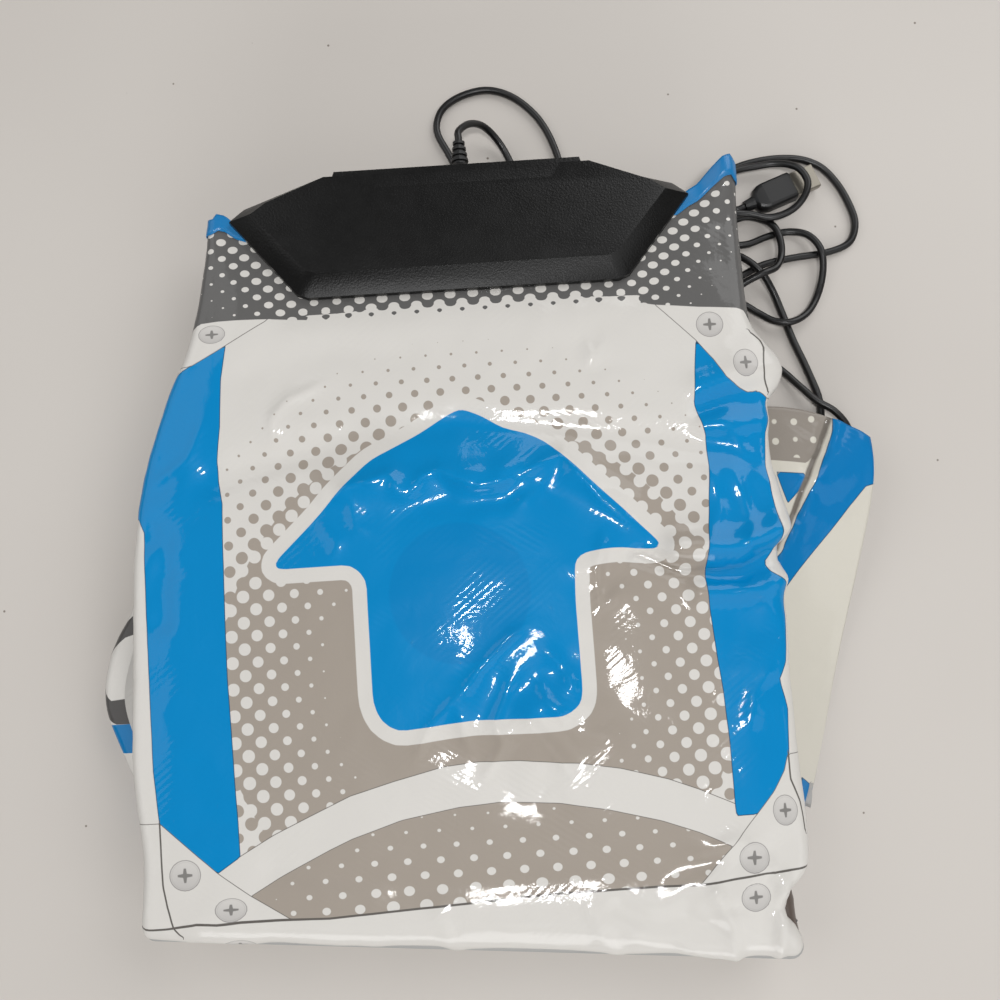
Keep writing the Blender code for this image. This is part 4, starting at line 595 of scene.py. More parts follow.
def smooth_line(route, per_span):
    """Points of a smooth curve through the route, with centripetal spacing, as in the part's source."""
    result = []
    count = len(route)
    for k in range(count - 1):
        p0, p1, p2, p3 = (route[min(max(k + step, 0), count - 1)] for step in (-1, 0, 1, 2))
        d1 = max((p1 - p0).length, 0.01) ** 0.5
        d2 = (p2 - p1).length ** 0.5
        d3 = max((p3 - p2).length, 0.01) ** 0.5
        m1 = m2 = p2 - p1
        if k > 0:
            m1 = d2 * ((p1 - p0) / d1 - (p2 - p0) / (d1 + d2) + (p2 - p1) / d2)
        if k < count - 2:
            m2 = d2 * ((p2 - p1) / d2 - (p3 - p1) / (d2 + d3) + (p3 - p2) / d3)
        result += [cubic(i / per_span, p1, m1, p2, m2) for i in range(per_span)]
    return result + [route[-1].copy()]


def lay_lead(look):
    """The lead, as one curve from the strain relief to the plug."""
    direction = Vector((math.cos(PLUG_ANGLE), math.sin(PLUG_ANGLE), 0.0))
    end = Vector(PLUG_REAR) - direction * PLUG_GAP
    start = Vector(LEAD_EXIT)
    route = [start, start + Vector((0.0, LEAD_RADIUS, 0.0)), *map(Vector, LEAD_ROUTE),
             end - direction * LEAD_RADIUS * 2, end]
    points = smooth_line(route, LEAD_STEPS)
    line = bpy.data.curves.new("lead_cord", "CURVE")
    line.dimensions = "3D"
    line.bevel_depth = LEAD_RADIUS * MM
    line.bevel_resolution = 4
    line.use_fill_caps = True
    spline = line.splines.new("POLY")
    spline.points.add(len(points) - 1)
    for target, point in zip(spline.points, points):
        target.co = (*(point * MM), 1.0)
    spline.use_smooth = True
    line.materials.append(look)
    lead = put("lead_cord", line)
    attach(lead, "top_row")
    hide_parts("lead")


def plain_finish(name, code, settings, grain_mm, strength, uneven=None, depth_mm=0.04, detail=2.0):
    """A moulded, rolled or plated finish: one colour, and the grain of its making, which catches the light
    unevenly. The unevenness is a range of roughness, one fifth either way where none is given."""
    look, tree, shader = finish_named(name, {"Base Color": linear(code), **settings})
    place = add(tree, "TexCoord")
    grain = add(tree, "TexNoise", {"Scale": 1 / (grain_mm * MM), "Detail": detail},
                {"Vector": place.outputs["Object"]})
    low, high = uneven or (settings["Roughness"] * 0.8, settings["Roughness"] * 1.2)
    rough = add(tree, "MapRange", {"To Min": low, "To Max": high}, {"Value": grain.outputs["Fac"]})
    tree.links.new(rough.outputs[0], shader.inputs["Roughness"])
    bump = add(tree, "Bump", {"Strength": strength, "Distance": depth_mm * MM}, {"Height": grain})
    tree.links.new(bump.outputs[0], shader.inputs["Normal"])
    return look


def moulded_abs():
    """Black ABS moulded in a spark-eroded mould: a fine pebble grain that greys the black where light grazes
    it. The real pebbles are about 0.3 mm, drawn 0.8 mm so that they show."""
    look, tree, shader = finish_named("black_abs", {"Base Color": linear("#060606"), "Roughness": 0.42,
                                                    "IOR": 1.54, "Specular IOR Level": 0.35})
    place = add(tree, "TexCoord").outputs["Object"]
    pebbles = add(tree, "TexVoronoi", {"Scale": 1 / (0.8 * MM), "feature": "SMOOTH_F1"}, {"Vector": place})
    drift = add(tree, "TexNoise", {"Scale": 1 / (9 * MM), "Detail": 4.0}, {"Vector": place})
    worn = add(tree, "MapRange", {"To Min": 0.28, "To Max": 0.4}, {"Value": drift.outputs["Fac"]})
    tree.links.new(worn.outputs[0], shader.inputs["Roughness"])
    bump = add(tree, "Bump", {"Strength": 0.6, "Distance": 0.12 * MM},
               {"Height": pebbles.outputs["Distance"]})
    tree.links.new(bump.outputs[0], shader.inputs["Normal"])
    return look


def dot_field(tree, print_place, tone, pitch_mm):
    """Printed halftone on a lattice turned 45 degrees: 1 where ink lies. Round ink dots grow with the tone up
    to one half, join there by necks, and past that round white dots shrink. The pitch is (across, along)."""
    turned = add(tree, "Mapping", {"Rotation": (0.0, 0.0, math.radians(45)),
                                   "Scale": (1 / (pitch_mm[0] * MM), 1 / (pitch_mm[1] * MM), 1.0)},
                 {"Vector": print_place})
    reach = []
    for shift in (0.5, 0.0):
        spot = turned
        for operation, other in (("ADD", (shift, shift, 0.0)), ("FRACTION", (0.0, 0.0, 0.0)),
                                 ("SUBTRACT", (0.5, 0.5, 0.0)), ("MULTIPLY", (1.0, 1.0, 0.0))):
            spot = add(tree, "VectorMath", {"operation": operation, 1: other}, {0: spot})
        reach.append(add(tree, "VectorMath", {"operation": "LENGTH"}, {0: spot}).outputs["Value"])
    radius = []
    for factor, base in ((1 / math.pi, 0.0), (-1 / math.pi, 1 / math.pi)):
        area = add(tree, "Math", {"operation": "MULTIPLY_ADD", "use_clamp": True, 1: factor, 2: base},
                   {0: tone})
        root = add(tree, "Math", {"operation": "SQRT"}, {0: area})
        radius.append(add(tree, "Math", {"operation": "MINIMUM", 1: DOT_LARGEST}, {0: root}))
    dot = add(tree, "Math", {"operation": "SUBTRACT"}, {0: radius[0], 1: reach[0]})
    hole = add(tree, "Math", {"operation": "SUBTRACT"}, {0: reach[1], 1: radius[1]})
    neck = add(tree, "Math", {"operation": "MULTIPLY_ADD", 1: 3.0, 2: -1.5}, {0: tone})
    around = add(tree, "Math", {"operation": "SMOOTH_MIN", 2: 0.08}, {0: hole, 1: neck})
    ink = add(tree, "Math", {"operation": "SMOOTH_MAX", 2: 0.08}, {0: dot, 1: around})
    return add(tree, "MapRange", {"From Min": -0.012, "From Max": 0.012}, {"Value": ink})


def over(tree, below, colour, mask):
    """Lay one printed colour over what is below it, where the mask is 1."""
    mixed = add(tree, "Mix", {"data_type": "RGBA", "B": linear(colour)}, {"Factor": mask})
    if isinstance(below, str):
        mixed.inputs["A"].default_value = linear(below)
    else:
        tree.links.new(below, mixed.inputs["A"])
    return mixed.outputs["Result"]


def within(tree, name, limit, edge=0.12):
    """1 where the mesh's distance attribute of this name is less than the limit in millimetres."""
    distance = add(tree, "Attribute", {"attribute_name": name})
    return add(tree, "MapRange", {"From Min": limit + edge, "From Max": limit - edge},
               {"Value": distance.outputs["Fac"]})


def both(tree, first, second):
    """1 where both masks are."""
    return add(tree, "Math", {"operation": "MULTIPLY"}, {0: first, 1: second})


def near_zero(tree, distance, outer, inner, strength=1.0):
    """A line where the distance is near zero, its half width between the two limits in millimetres."""
    size = add(tree, "Math", {"operation": "ABSOLUTE"}, {0: distance})
    return add(tree, "MapRange", {"From Min": outer, "From Max": inner, "To Max": strength}, {"Value": size})


def lay_inks(tree, colour, inks):
    """Lay each ink over the last, as (distance attribute, its limit in millimetres, colour)."""
    for name, limit, code in inks:
        colour = over(tree, colour, code, within(tree, name, limit))
    return colour


def glossy_film(tree, shader, print_place):
    """Clear film over the print: tight crinkles, and in places the slanted threads of the net inside it, both
    ways. The real threads are under 1 mm apart, drawn 1.3 mm so that they show."""
    patches = add(tree, "TexNoise", {"Scale": 1 / (38 * MM), "Detail": 3.0}, {"Vector": print_place})
    threads = []
    for turn, low, high in ((52, 0.5, 0.58), (-56, 0.46, 0.4)):
        turned = add(tree, "Mapping", {"Rotation": (0.0, 0.0, math.radians(turn))}, {"Vector": print_place})
        lines = add(tree, "TexWave", {"wave_profile": "SIN", "Scale": 0.5 / (1.3 * MM) / 3.2,
                                      "Distortion": 0.5, "Detail": 1.0, "Detail Scale": 0.4},
                    {"Vector": turned})
        where = add(tree, "MapRange", {"From Min": low, "From Max": high}, {"Value": patches.outputs["Fac"]})
        threads.append(both(tree, lines.outputs["Fac"], where))
    drawn = add(tree, "Math", {"operation": "ADD"}, {0: threads[0], 1: threads[1]})
    crinkle = add(tree, "TexNoise", {"Scale": 1 / (14 * MM), "Detail": 5.0, "Roughness": 0.55,
                                     "Distortion": 0.8}, {"Vector": print_place})
    relief = add(tree, "Bump", {"Strength": 0.55, "Distance": 0.05 * MM}, {"Height": drawn})
    soft = add(tree, "Bump", {"Strength": 0.5, "Distance": 0.5 * MM},
               {"Height": crinkle.outputs["Fac"], "Normal": relief})
    tree.links.new(soft.outputs[0], shader.inputs["Normal"])
    tree.links.new(soft.outputs[0], shader.inputs["Coat Normal"])


def printed_vinyl(name, roughness, specular, coat, coat_roughness):
    """Soft PVC printed with flat inks under a clear film, which gives a wet gloss that breaks up on every
    wrinkle. Gives the material, its tree, its shader and the place in the print."""
    look, tree, shader = finish_named(name, {"Roughness": roughness, "IOR": 1.53,
                                             "Specular IOR Level": specular, "Coat Weight": coat,
                                             "Coat Roughness": coat_roughness})
    place = add(tree, "UVMap", {"uv_map": "print"})
    glossy_film(tree, shader, place)
    return look, tree, shader, place


def printed_panel():
    """The top panel's print: an arrow on a halftone, an arc, stripes, corner plates and sewn lines, and
    painted shade inside the pad's disc.
    """
    look, tree, shader, place = printed_vinyl("printed_vinyl_panel", 0.35, 0.06, 0.43, 0.05)
    tones = {name: add(tree, "Attribute", {"attribute_name": name}).outputs["Fac"]
             for name in ("tone", "rear_tone", "front_tone", "line_side", "hem", "pad")}
    colour = over(tree, PRINT_WHITE, PRINT_TAUPE, dot_field(tree, place, tones["tone"], PANEL_PITCH))
    colour = lay_inks(tree, colour, (("arrow", ARROW_BORDER, PRINT_WHITE), ("arrow", 0.0, PRINT_BLUE),
                                     ("band", 0.3, PRINT_LINE), ("band", 0.0, PRINT_WHITE),
                                     ("front", 0.25, PRINT_LINE), ("front", 0.0, PRINT_TAUPE)))
    holes = add(tree, "Math", {"operation": "SUBTRACT", 0: 1.0},
                {1: dot_field(tree, place, tones["front_tone"], FRONT_PITCH)})
    colour = over(tree, colour, PRINT_WHITE, both(tree, holes, within(tree, "front", -0.2)))
    colour = lay_inks(tree, colour, (("hem", 0.0, PRINT_WHITE), ("stripe", 0.2, BLUE_RIM),
                                     ("stripe", -0.15, PRINT_BLUE), ("plate", 0.3, PRINT_LINE),
                                     ("plate", 0.0, PRINT_WHITE)))
    rear = over(tree, PRINT_WHITE, PRINT_GREY, dot_field(tree, place, tones["rear_tone"], REAR_PITCH))
    choose = add(tree, "Mix", {"data_type": "RGBA"},
                 {"Factor": within(tree, "zone", 0.0), "A": colour, "B": rear})
    folds = both(tree, near_zero(tree, tones["line_side"], 0.48, 0.28), within(tree, "lines", 2.0))
    colour = over(tree, choose.outputs["Result"], PRINT_LINE, folds)
    colour = over(tree, colour, PRINT_LINE, near_zero(tree, tones["hem"], 0.56, 0.36))
    colour = printed_screws(tree, colour)
    # Painted shade: the inside of the pad's disc is darkened towards a deep blue, for its shallow dent.
    shade = add(tree, "MapRange", {"From Min": 0.6, "From Max": -0.6, "To Max": 0.16},
                {"Value": tones["pad"]})
    colour = over(tree, colour, PAD_SHADE_BLUE, shade)
    tree.links.new(colour, shader.inputs["Base Color"])
    return look


def printed_screws(tree, below):
    """Cross-head screws that are only printed: a grey disc with a thin ring, and a small tapered cross."""
    offset = add(tree, "Attribute", {"attribute_name": "screw"})
    parts = add(tree, "SeparateXYZ", links={0: offset.outputs["Vector"]}).outputs
    disc = add(tree, "MapRange", {"From Min": 6.9, "From Max": 6.7}, {"Value": parts[2]})
    slope = add(tree, "MapRange", {"From Min": -7.0, "From Max": 7.0}, {"Value": parts[1]})
    face = add(tree, "Mix", {"data_type": "RGBA"},
               {"Factor": disc, "A": below, "B": over(tree, "#b5b2af", "#cbc8c4", slope)}).outputs["Result"]
    for radius, strength in ((6.7, 0.7), (5.9, 0.12)):
        away = add(tree, "Math", {"operation": "SUBTRACT", 1: radius}, {0: parts[2]})
        face = over(tree, face, "#7d7a78", near_zero(tree, away, 0.3, 0.1, strength))
    sizes = [add(tree, "Math", {"operation": "ABSOLUTE"}, {0: parts[axis]}) for axis in (0, 1)]
    thin, long = (add(tree, "Math", {"operation": operation}, {0: sizes[0], 1: sizes[1]})
                  for operation in ("MINIMUM", "MAXIMUM"))
    taper = add(tree, "Math", {"operation": "MULTIPLY_ADD", 1: 0.16}, {0: long, 2: thin})
    arm = add(tree, "MapRange", {"From Min": 1.15, "From Max": 0.85, "To Max": 0.85}, {"Value": taper})
    ended = add(tree, "MapRange", {"From Min": 3.4, "From Max": 3.0}, {"Value": long})
    return over(tree, face, "#6b6966", both(tree, both(tree, arm, ended), disc))


def printed_flap():
    """The flap's print: a dotted grey corner and blue shapes, and painted shade along its long crease."""
    look, tree, shader, place = printed_vinyl("printed_vinyl_flap", 0.4, 0.1, 0.35, 0.08)
    colour = lay_inks(tree, FLAP_WHITE, (("grey", 0.0, "#8d867e"),))
    dots = add(tree, "TexVoronoi", {"Scale": 1 / (9.0 * MM), "Randomness": 0.15}, {"Vector": place})
    spot = add(tree, "MapRange", {"From Min": 0.2, "From Max": 0.16}, {"Value": dots.outputs["Distance"]})
    colour = over(tree, colour, FLAP_WHITE, both(tree, spot, within(tree, "grey", -2.0)))
    colour = lay_inks(tree, colour, (("stripe", 0.2, BLUE_RIM), ("stripe", -0.15, "#0072b0")))
    # Painted shade: a grey-brown line darkens the flap along its crease valley.
    colour = over(tree, colour, "#6f6962", within(tree, "crease", 1.3, edge=0.5))
    tree.links.new(colour, shader.inputs["Base Color"])
    return look


def printed_rows():
    """The lower rows' print, on their folds: blue blocks, a dark ring, and a corner of taupe print darkened
    with painted shade where it shows in the notch.
    """
    look, tree, shader, _ = printed_vinyl("printed_vinyl_rows", 0.4, 0.1, 0.5, 0.08)
    # The dark corner colour is taupe print darkened with painted shade of the notch.
    colour = lay_inks(tree, PRINT_WHITE, (("grey", 0.0, "#4b4948"), ("stripe", 0.0, "#0072ae"),
                                          ("taupe_shade", 0.0, "#5d534d")))
    tree.links.new(colour, shader.inputs["Base Color"])
    return look


def mark(mesh, name, values):
    """Store a value for every point of the mesh, for its material to read."""
    made = mesh.attributes.new(name, "FLOAT", "POINT")
    made.data.foreach_set("value", np.asarray(values, np.float32))


def draw_panel_print(mesh, place):
    """Distances to every printed shape, and the tones of the dots between them."""
    across, along = place[:, 0], place[:, 1]
    hem = above_line(place, HEM_LINE)
    front = above_line(place, ARC_FRONT)
    mark(mesh, "arrow", shape_distance(place, rounded(ARROW, ARROW_CORNER)))
    mark(mesh, "band", np.maximum(-front, above_line(place, ARC_REAR)))
    mark(mesh, "front", np.max([front, -hem, across - FRONT_SIDES[1], FRONT_SIDES[0] - across], axis=0))
    mark(mesh, "hem", hem)
    mark(mesh, "stripe", nearest_shape(place, (STRIPE_LEFT, STRIPE_RIGHT)))
    mark(mesh, "plate", np.minimum(nearest_shape(place, PLATES), hem))
    mark(mesh, "zone", -above_line(place, REAR_ZONE))
    # Distance to the pad's disc, inside which painted shade is laid
    mark(mesh, "pad", np.hypot(across - PAD_CENTRE[0], along - PAD_CENTRE[1]) - PAD_RADIUS)
    sides = np.array([line_side(place, line) for line in FOLD_LINES])
    nearest = np.abs(sides).argmin(axis=0)[None]
    mark(mesh, "line_side", np.take_along_axis(sides, nearest, axis=0)[0])
    mark(mesh, "lines", np.abs(sides).min(axis=0))

    inside = (along < TONE_REAR_Y) & (across > TONE_SIDES[0]) & (across < TONE_SIDES[1])
    radius = np.hypot(across - TONE_CENTRE[0], along - TONE_CENTRE[1])
    mark(mesh, "tone", table_values(TONE_CURVE, radius) * inside)
    holes = table_values(FRONT_HOLES, np.maximum(hem, 0.0)) * table_values(FRONT_SPREAD, across)
    mark(mesh, "front_tone", 1.0 - holes)
    box = [(BOX_X + half, y) for half, y in ((-BOX_FRONT_HALF, BOX_FRONT_Y), (BOX_FRONT_HALF, BOX_FRONT_Y),
                                             (BOX_TIP_HALF, BOX_TIP_Y), (BOX_TIP_HALF, REAR_SHAPE_Y),
                                             (-BOX_TIP_HALF, REAR_SHAPE_Y), (-BOX_TIP_HALF, BOX_TIP_Y))]
    from_box = np.maximum(shape_distance(place, box), 0.0)
    corner_tone = 1.0 - math.pi * table_values(REAR_HOLES, from_box) ** 2
    middle = plateau(across, *STRIP_MIDDLE)
    fall = smoothstep(STRIP_REACH[0] - STRIP_MIDDLE_NARROWER * middle, STRIP_REACH[1], from_box)
    strip_tone = (STRIP_TONE - STRIP_MIDDLE_LIGHTER * middle) * (1 - fall)
    strip = plateau(across, *STRIP_ENDS)
    mark(mesh, "rear_tone", corner_tone * (1 - strip) + strip_tone * strip)
    draw_screws(mesh, place)


def draw_screws(mesh, place):
    """Offset from the nearest printed screw, kept only near it, so that no false one shows between two."""
    offset = np.full((len(place), 3), PAST_SCREWS)
    for x, y, across, along in PRINTED_SCREWS:
        away = (place - (x, y)) * (SCREW_DRAWN / across, SCREW_DRAWN / along)
        distance = np.hypot(away[:, 0], away[:, 1])
        near = (distance < SCREW_REACH) & (distance < offset[:, 2])
        offset[near, :2] = away[near]
        offset[near, 2] = distance[near]
    made = mesh.attributes.new("screw", "FLOAT_VECTOR", "POINT")
    made.data.foreach_set("vector", offset.astype(np.float32).ravel())


def draw_row_print(mesh, place):
    """Parts of the print that show on the folds of the lower rows: blue blocks, and a dark ring piece."""
    across, along = place[:, 0], place[:, 1]
    blocks = np.min([np.abs(along - middle) - half for middle, half in ROW_BLOCKS], axis=0)
    mark(mesh, "stripe", np.maximum(blocks, across - ROW_BLOCKS_END))
    radius = np.hypot(across - ROW_RING_CENTRE[0], along - ROW_RING_CENTRE[1])
    mark(mesh, "grey", np.abs(radius - ROW_RING_RADIUS) - ROW_RING_HALF)
    # Corner of taupe print darkened with painted shade, where the rows show in the notch.
    mark(mesh, "taupe_shade", np.maximum(ROW_TAUPE_SHADE[0] - across, along - ROW_TAUPE_SHADE[1]))


def row_columns(hidden, tight, centre, wide):
    """The grid's columns across a row, as (zone, share of the zone)."""
    zones = []
    for zone, count in enumerate((hidden, tight, centre, wide, hidden)):
        zones += [(zone, k / count) for k in range(count)]
    return zones + [(HIDDEN_RIGHT, 1.0)]


def fold_shift(x, y):
    """How far the skew of the front fold moves a point along the mat, as in the part's source."""
    fade = min(max((SKEW_REAR_Y - y) / (SKEW_REAR_Y - ROLL_START_Y), 0.0), 1.0)
    return -math.tan(FOLD_SKEW) * x * fade


def wrapped_row(columns, stations, edges, centre_z):
    """Outer face of a row's three plies. Gives points, outward directions and places in the print.

    A station is (y, roll angle, place in the print): the roll angle turns the face round the front fold.
    """
    tight = PLY_PITCH / 2 + SKIN
    wide = PLY_PITCH + SKIN
    top = centre_z + SKIN
    points, outward, print_place = (np.zeros((len(stations), len(columns), n)) for n in (3, 3, 2))
    for j, (y, angle, print_y) in enumerate(stations):
        left, right = edges(y)
        right_centre = right - wide
        left_centre = left + tight
        for i, (zone, part) in enumerate(columns):
            hand, centre, radius = (-1, left_centre, tight) if zone < CENTRE else (1, right_centre, wide)
            if zone == CENTRE:
                x = left_centre + (right_centre - left_centre) * part
                z, nx, nz, s = top, 0.0, 1.0, x
            elif zone in (LEFT_FOLD, RIGHT_FOLD):
                turn = math.pi * (part if zone == RIGHT_FOLD else 1 - part)
                x, z = centre + hand * radius * math.sin(turn), top - radius + radius * math.cos(turn)
                nx, nz, s = hand * math.sin(turn), math.cos(turn), centre + hand * turn * radius
            else:
                x = right_centre - (right_centre - left - COLUMN_END_GAP) * part
                if zone == HIDDEN_LEFT:
                    meet = right_centre - COLUMN_MEET_GAP
                    x = meet + (left_centre - meet) * part
                z, nx, nz = top - 2 * radius, 0.0, -1.0
                s = centre + hand * math.pi * radius - (x - centre)
            depth = top - z
            shift = fold_shift(x, y)
            front = shift + (y if angle == 0 else ROLL_START_Y - ROLL_REACH * math.sin(angle))
            lift = ROLL_DROP * (1 - math.cos(angle))
            points[j, i] = (x, front + depth * math.sin(angle), top - lift - depth * math.cos(angle))
            outward[j, i] = (nx, -nz * math.sin(angle), nz * math.cos(angle))
            print_place[j, i] = (s, print_y + shift)
    return points, outward, print_place


def roll_stations(count):
    """Stations round the front roll, from its foot to the flat of the row."""
    angles = [math.pi / 2 * (1 - k / count) for k in range(count)]
    return [(ROLL_START_Y - ROLL_REACH * math.sin(a), a, ROLL_START_Y - ROLL_PRINT_SHARE * (ROLL_REACH * a))
            for a in angles]


def flat_stations(start, end, count):
    spots = [start + (end - start) * k / count for k in range(count + 1)]
    return [(y, 0.0, y) for y in spots]


def grid_piece(name, points, print_place, looks, body, thick, flip=False, keep=None):
    """A grid of points as one sheet with its print, thickened inwards to a closed padded form."""
    rows, columns = points.shape[:2]
    bm = bmesh.new()
    bmesh.ops.create_grid(bm, x_segments=columns - 1, y_segments=rows - 1, size=0.5)
    bm.verts.ensure_lookup_table()
    order = []
    for vert in bm.verts:
        i = round((vert.co.x + 0.5) * (columns - 1))
        j = round((vert.co.y + 0.5) * (rows - 1))
        order.append((j, i))
        vert.co = Vector(points[j, i]) * MM
    dropped = []
    for face in bm.faces if keep else ():
        cells = [order[vert.index] for vert in face.verts]
        if not keep(min(c[1] for c in cells), min(c[0] for c in cells)):
            dropped.append(face)
    if flip:
        bmesh.ops.reverse_faces(bm, faces=bm.faces)
    tag = bm.verts.layers.int.new("cell")
    for vert, (j, i) in zip(bm.verts, order):
        vert[tag] = j * columns + i
    bmesh.ops.delete(bm, geom=dropped, context="FACES")
    mesh = mesh_from(bm, name)
    cells = np.empty(len(mesh.vertices), np.int32)
    mesh.attributes["cell"].data.foreach_get("value", cells)
    mesh.attributes.remove(mesh.attributes["cell"])
    place = print_place.reshape(-1, 2)[cells]
    corners = np.empty(len(mesh.loops), np.int32)
    mesh.loops.foreach_get("vertex_index", corners)
    layer = mesh.uv_layers.new(name="print")
    layer.data.foreach_set("uv", (place[corners] * MM).astype(np.float32).ravel())
    for look in looks:
        mesh.materials.append(look)
    mesh.shade_smooth()
    made = put(name, mesh)
    if body:
        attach(made, body)
    padding = made.modifiers.new("padding", "SOLIDIFY")
    padding.thickness = thick * MM
    padding.offset = -1.0
    padding.use_even_offset = False
    padding.material_offset = 1
    padding.material_offset_rim = 1
    return made, place


def top_edges(y):
    return smooth_value(LEFT_EDGE, y), smooth_value(RIGHT_EDGE, y)


def row_edges(y):
    return smooth_value(ROW_LEFT_EDGE, y), smooth_value(ROW_RIGHT_EDGE, y)


def crumpled_film(cells):
    """Heights in millimetres of a film a little too large for its padding, by a cloth run at ten times size.
    It starts from a slight wave, and weak springs hold it to the padding, so that it gives by creasing."""
    bm = bmesh.new()
    bmesh.ops.create_grid(bm, x_segments=cells, y_segments=cells, size=0.5)
    draw = np.random.default_rng(FILM_SEED)
    start = draw.uniform(0, 2 * math.pi, FILM_WAVES)
    turn = draw.uniform(0, math.pi, FILM_WAVES)
    wave = draw.uniform(*FILM_WAVE_LENGTHS, FILM_WAVES)
    big = FILM_TRIAL_SCALE * MM
    flat = np.array([vert.co[:2] for vert in bm.verts]) * FILM_SIZE
    for vert, (x, y) in zip(bm.verts, flat):
        rise = np.sin((x * np.cos(turn) + y * np.sin(turn)) * 2 * math.pi / wave + start).sum()
        vert.co = Vector((x, y, FILM_WAVE_RISE * rise)) * big
    film = put("film_trial", mesh_from(bm, "film_trial"))
    held = film.vertex_groups.new(name="held")
    rim = np.abs(flat).max(axis=1) > FILM_SIZE / 2 - FILM_RIM
    held.add([int(k) for k in np.flatnonzero(rim)], 1.0, "REPLACE")
    held.add([int(k) for k in np.flatnonzero(~rim)], FILM_HELD, "REPLACE")
    cloth = film.modifiers.new("creasing", "CLOTH")
    for key, value in FILM_CLOTH.items():
        setattr(cloth.settings, key, value)
    cloth.settings.vertex_group_mass = "held"
    cloth.settings.effector_weights.gravity = 0.0
    cloth.collision_settings.use_collision = False
    scene = bpy.context.scene
    for frame_number in range(1, FILM_FRAMES + 1):
        scene.frame_set(frame_number)
    settled = film.evaluated_get(bpy.context.evaluated_depsgraph_get()).data
    heights = np.empty(len(settled.vertices) * 3)
    settled.vertices.foreach_get("co", heights)
    scene.frame_set(1)
    bpy.data.objects.remove(film, do_unlink=True)
    order = np.lexsort((np.round(flat[:, 0], 2), np.round(flat[:, 1], 2)))
    return (heights[2::3] / big)[order].reshape(cells + 1, cells + 1)


def film_height(film, place):
    """Height of the creased film under each place, the film repeated past its edges as a mirror image."""
    last = film.shape[0] - 1
    spot = np.abs((place / FILM_SIZE + 0.5 + 1.0) % 2.0 - 1.0) * last
    cell = np.minimum(spot.astype(int), last - 1)
    part = spot - cell
    x0, y0 = cell[:, 0], cell[:, 1]
    low = film[y0, x0] * (1 - part[:, 0]) + film[y0, x0 + 1] * part[:, 0]
    high = film[y0 + 1, x0] * (1 - part[:, 0]) + film[y0 + 1, x0 + 1] * part[:, 0]
    return low * (1 - part[:, 1]) + high * part[:, 1]


def panel_crown(place):
    """Height that the air in the top panel lifts its cover, as in the part's source."""
    u, v = (np.clip((place[:, k] - CROWN_CENTRE[k]) / CROWN_REACH, -1, 1) for k in (0, 1))
    return CROWN_HEIGHT * np.cos(math.pi * u / 2) ** 2 * (np.cos(math.pi * v / 2) ** 2) ** CROWN_FULLNESS


def panel_creases(place):
    """The top panel's own folds, as seen in the photograph: soft swells and valleys, and sharp ridges."""
    total = np.zeros(len(place))
    for line, height, width in PANEL_FOLDS:
        total += height * np.exp(-(line_distance(place, line) / width) ** 2)
    for line, height, width in PANEL_RIDGES:
        ends = np.array((line[0], line[-1]), float)
        from_end = np.min([np.hypot(*(place - end).T) for end in ends], axis=0)
        share = RIDGE_END_SHARE + (1 - RIDGE_END_SHARE) * smoothstep(0.0, RIDGE_END_FADE, from_end)
        total += height * np.exp(-line_distance(place, line) / width) * share
    return total


def creased_share(place, spots):
    """How much of the film's creasing shows at each place: most where the panel is pinched or pulled."""
    share = np.full(len(place), FILM_SHARE)
    for x, y, across, along, strength in spots:
        reach = ((place[:, 0] - x) / across) ** 2 + ((place[:, 1] - y) / along) ** 2
        share = np.maximum(share, strength * np.exp(-reach))
    return share


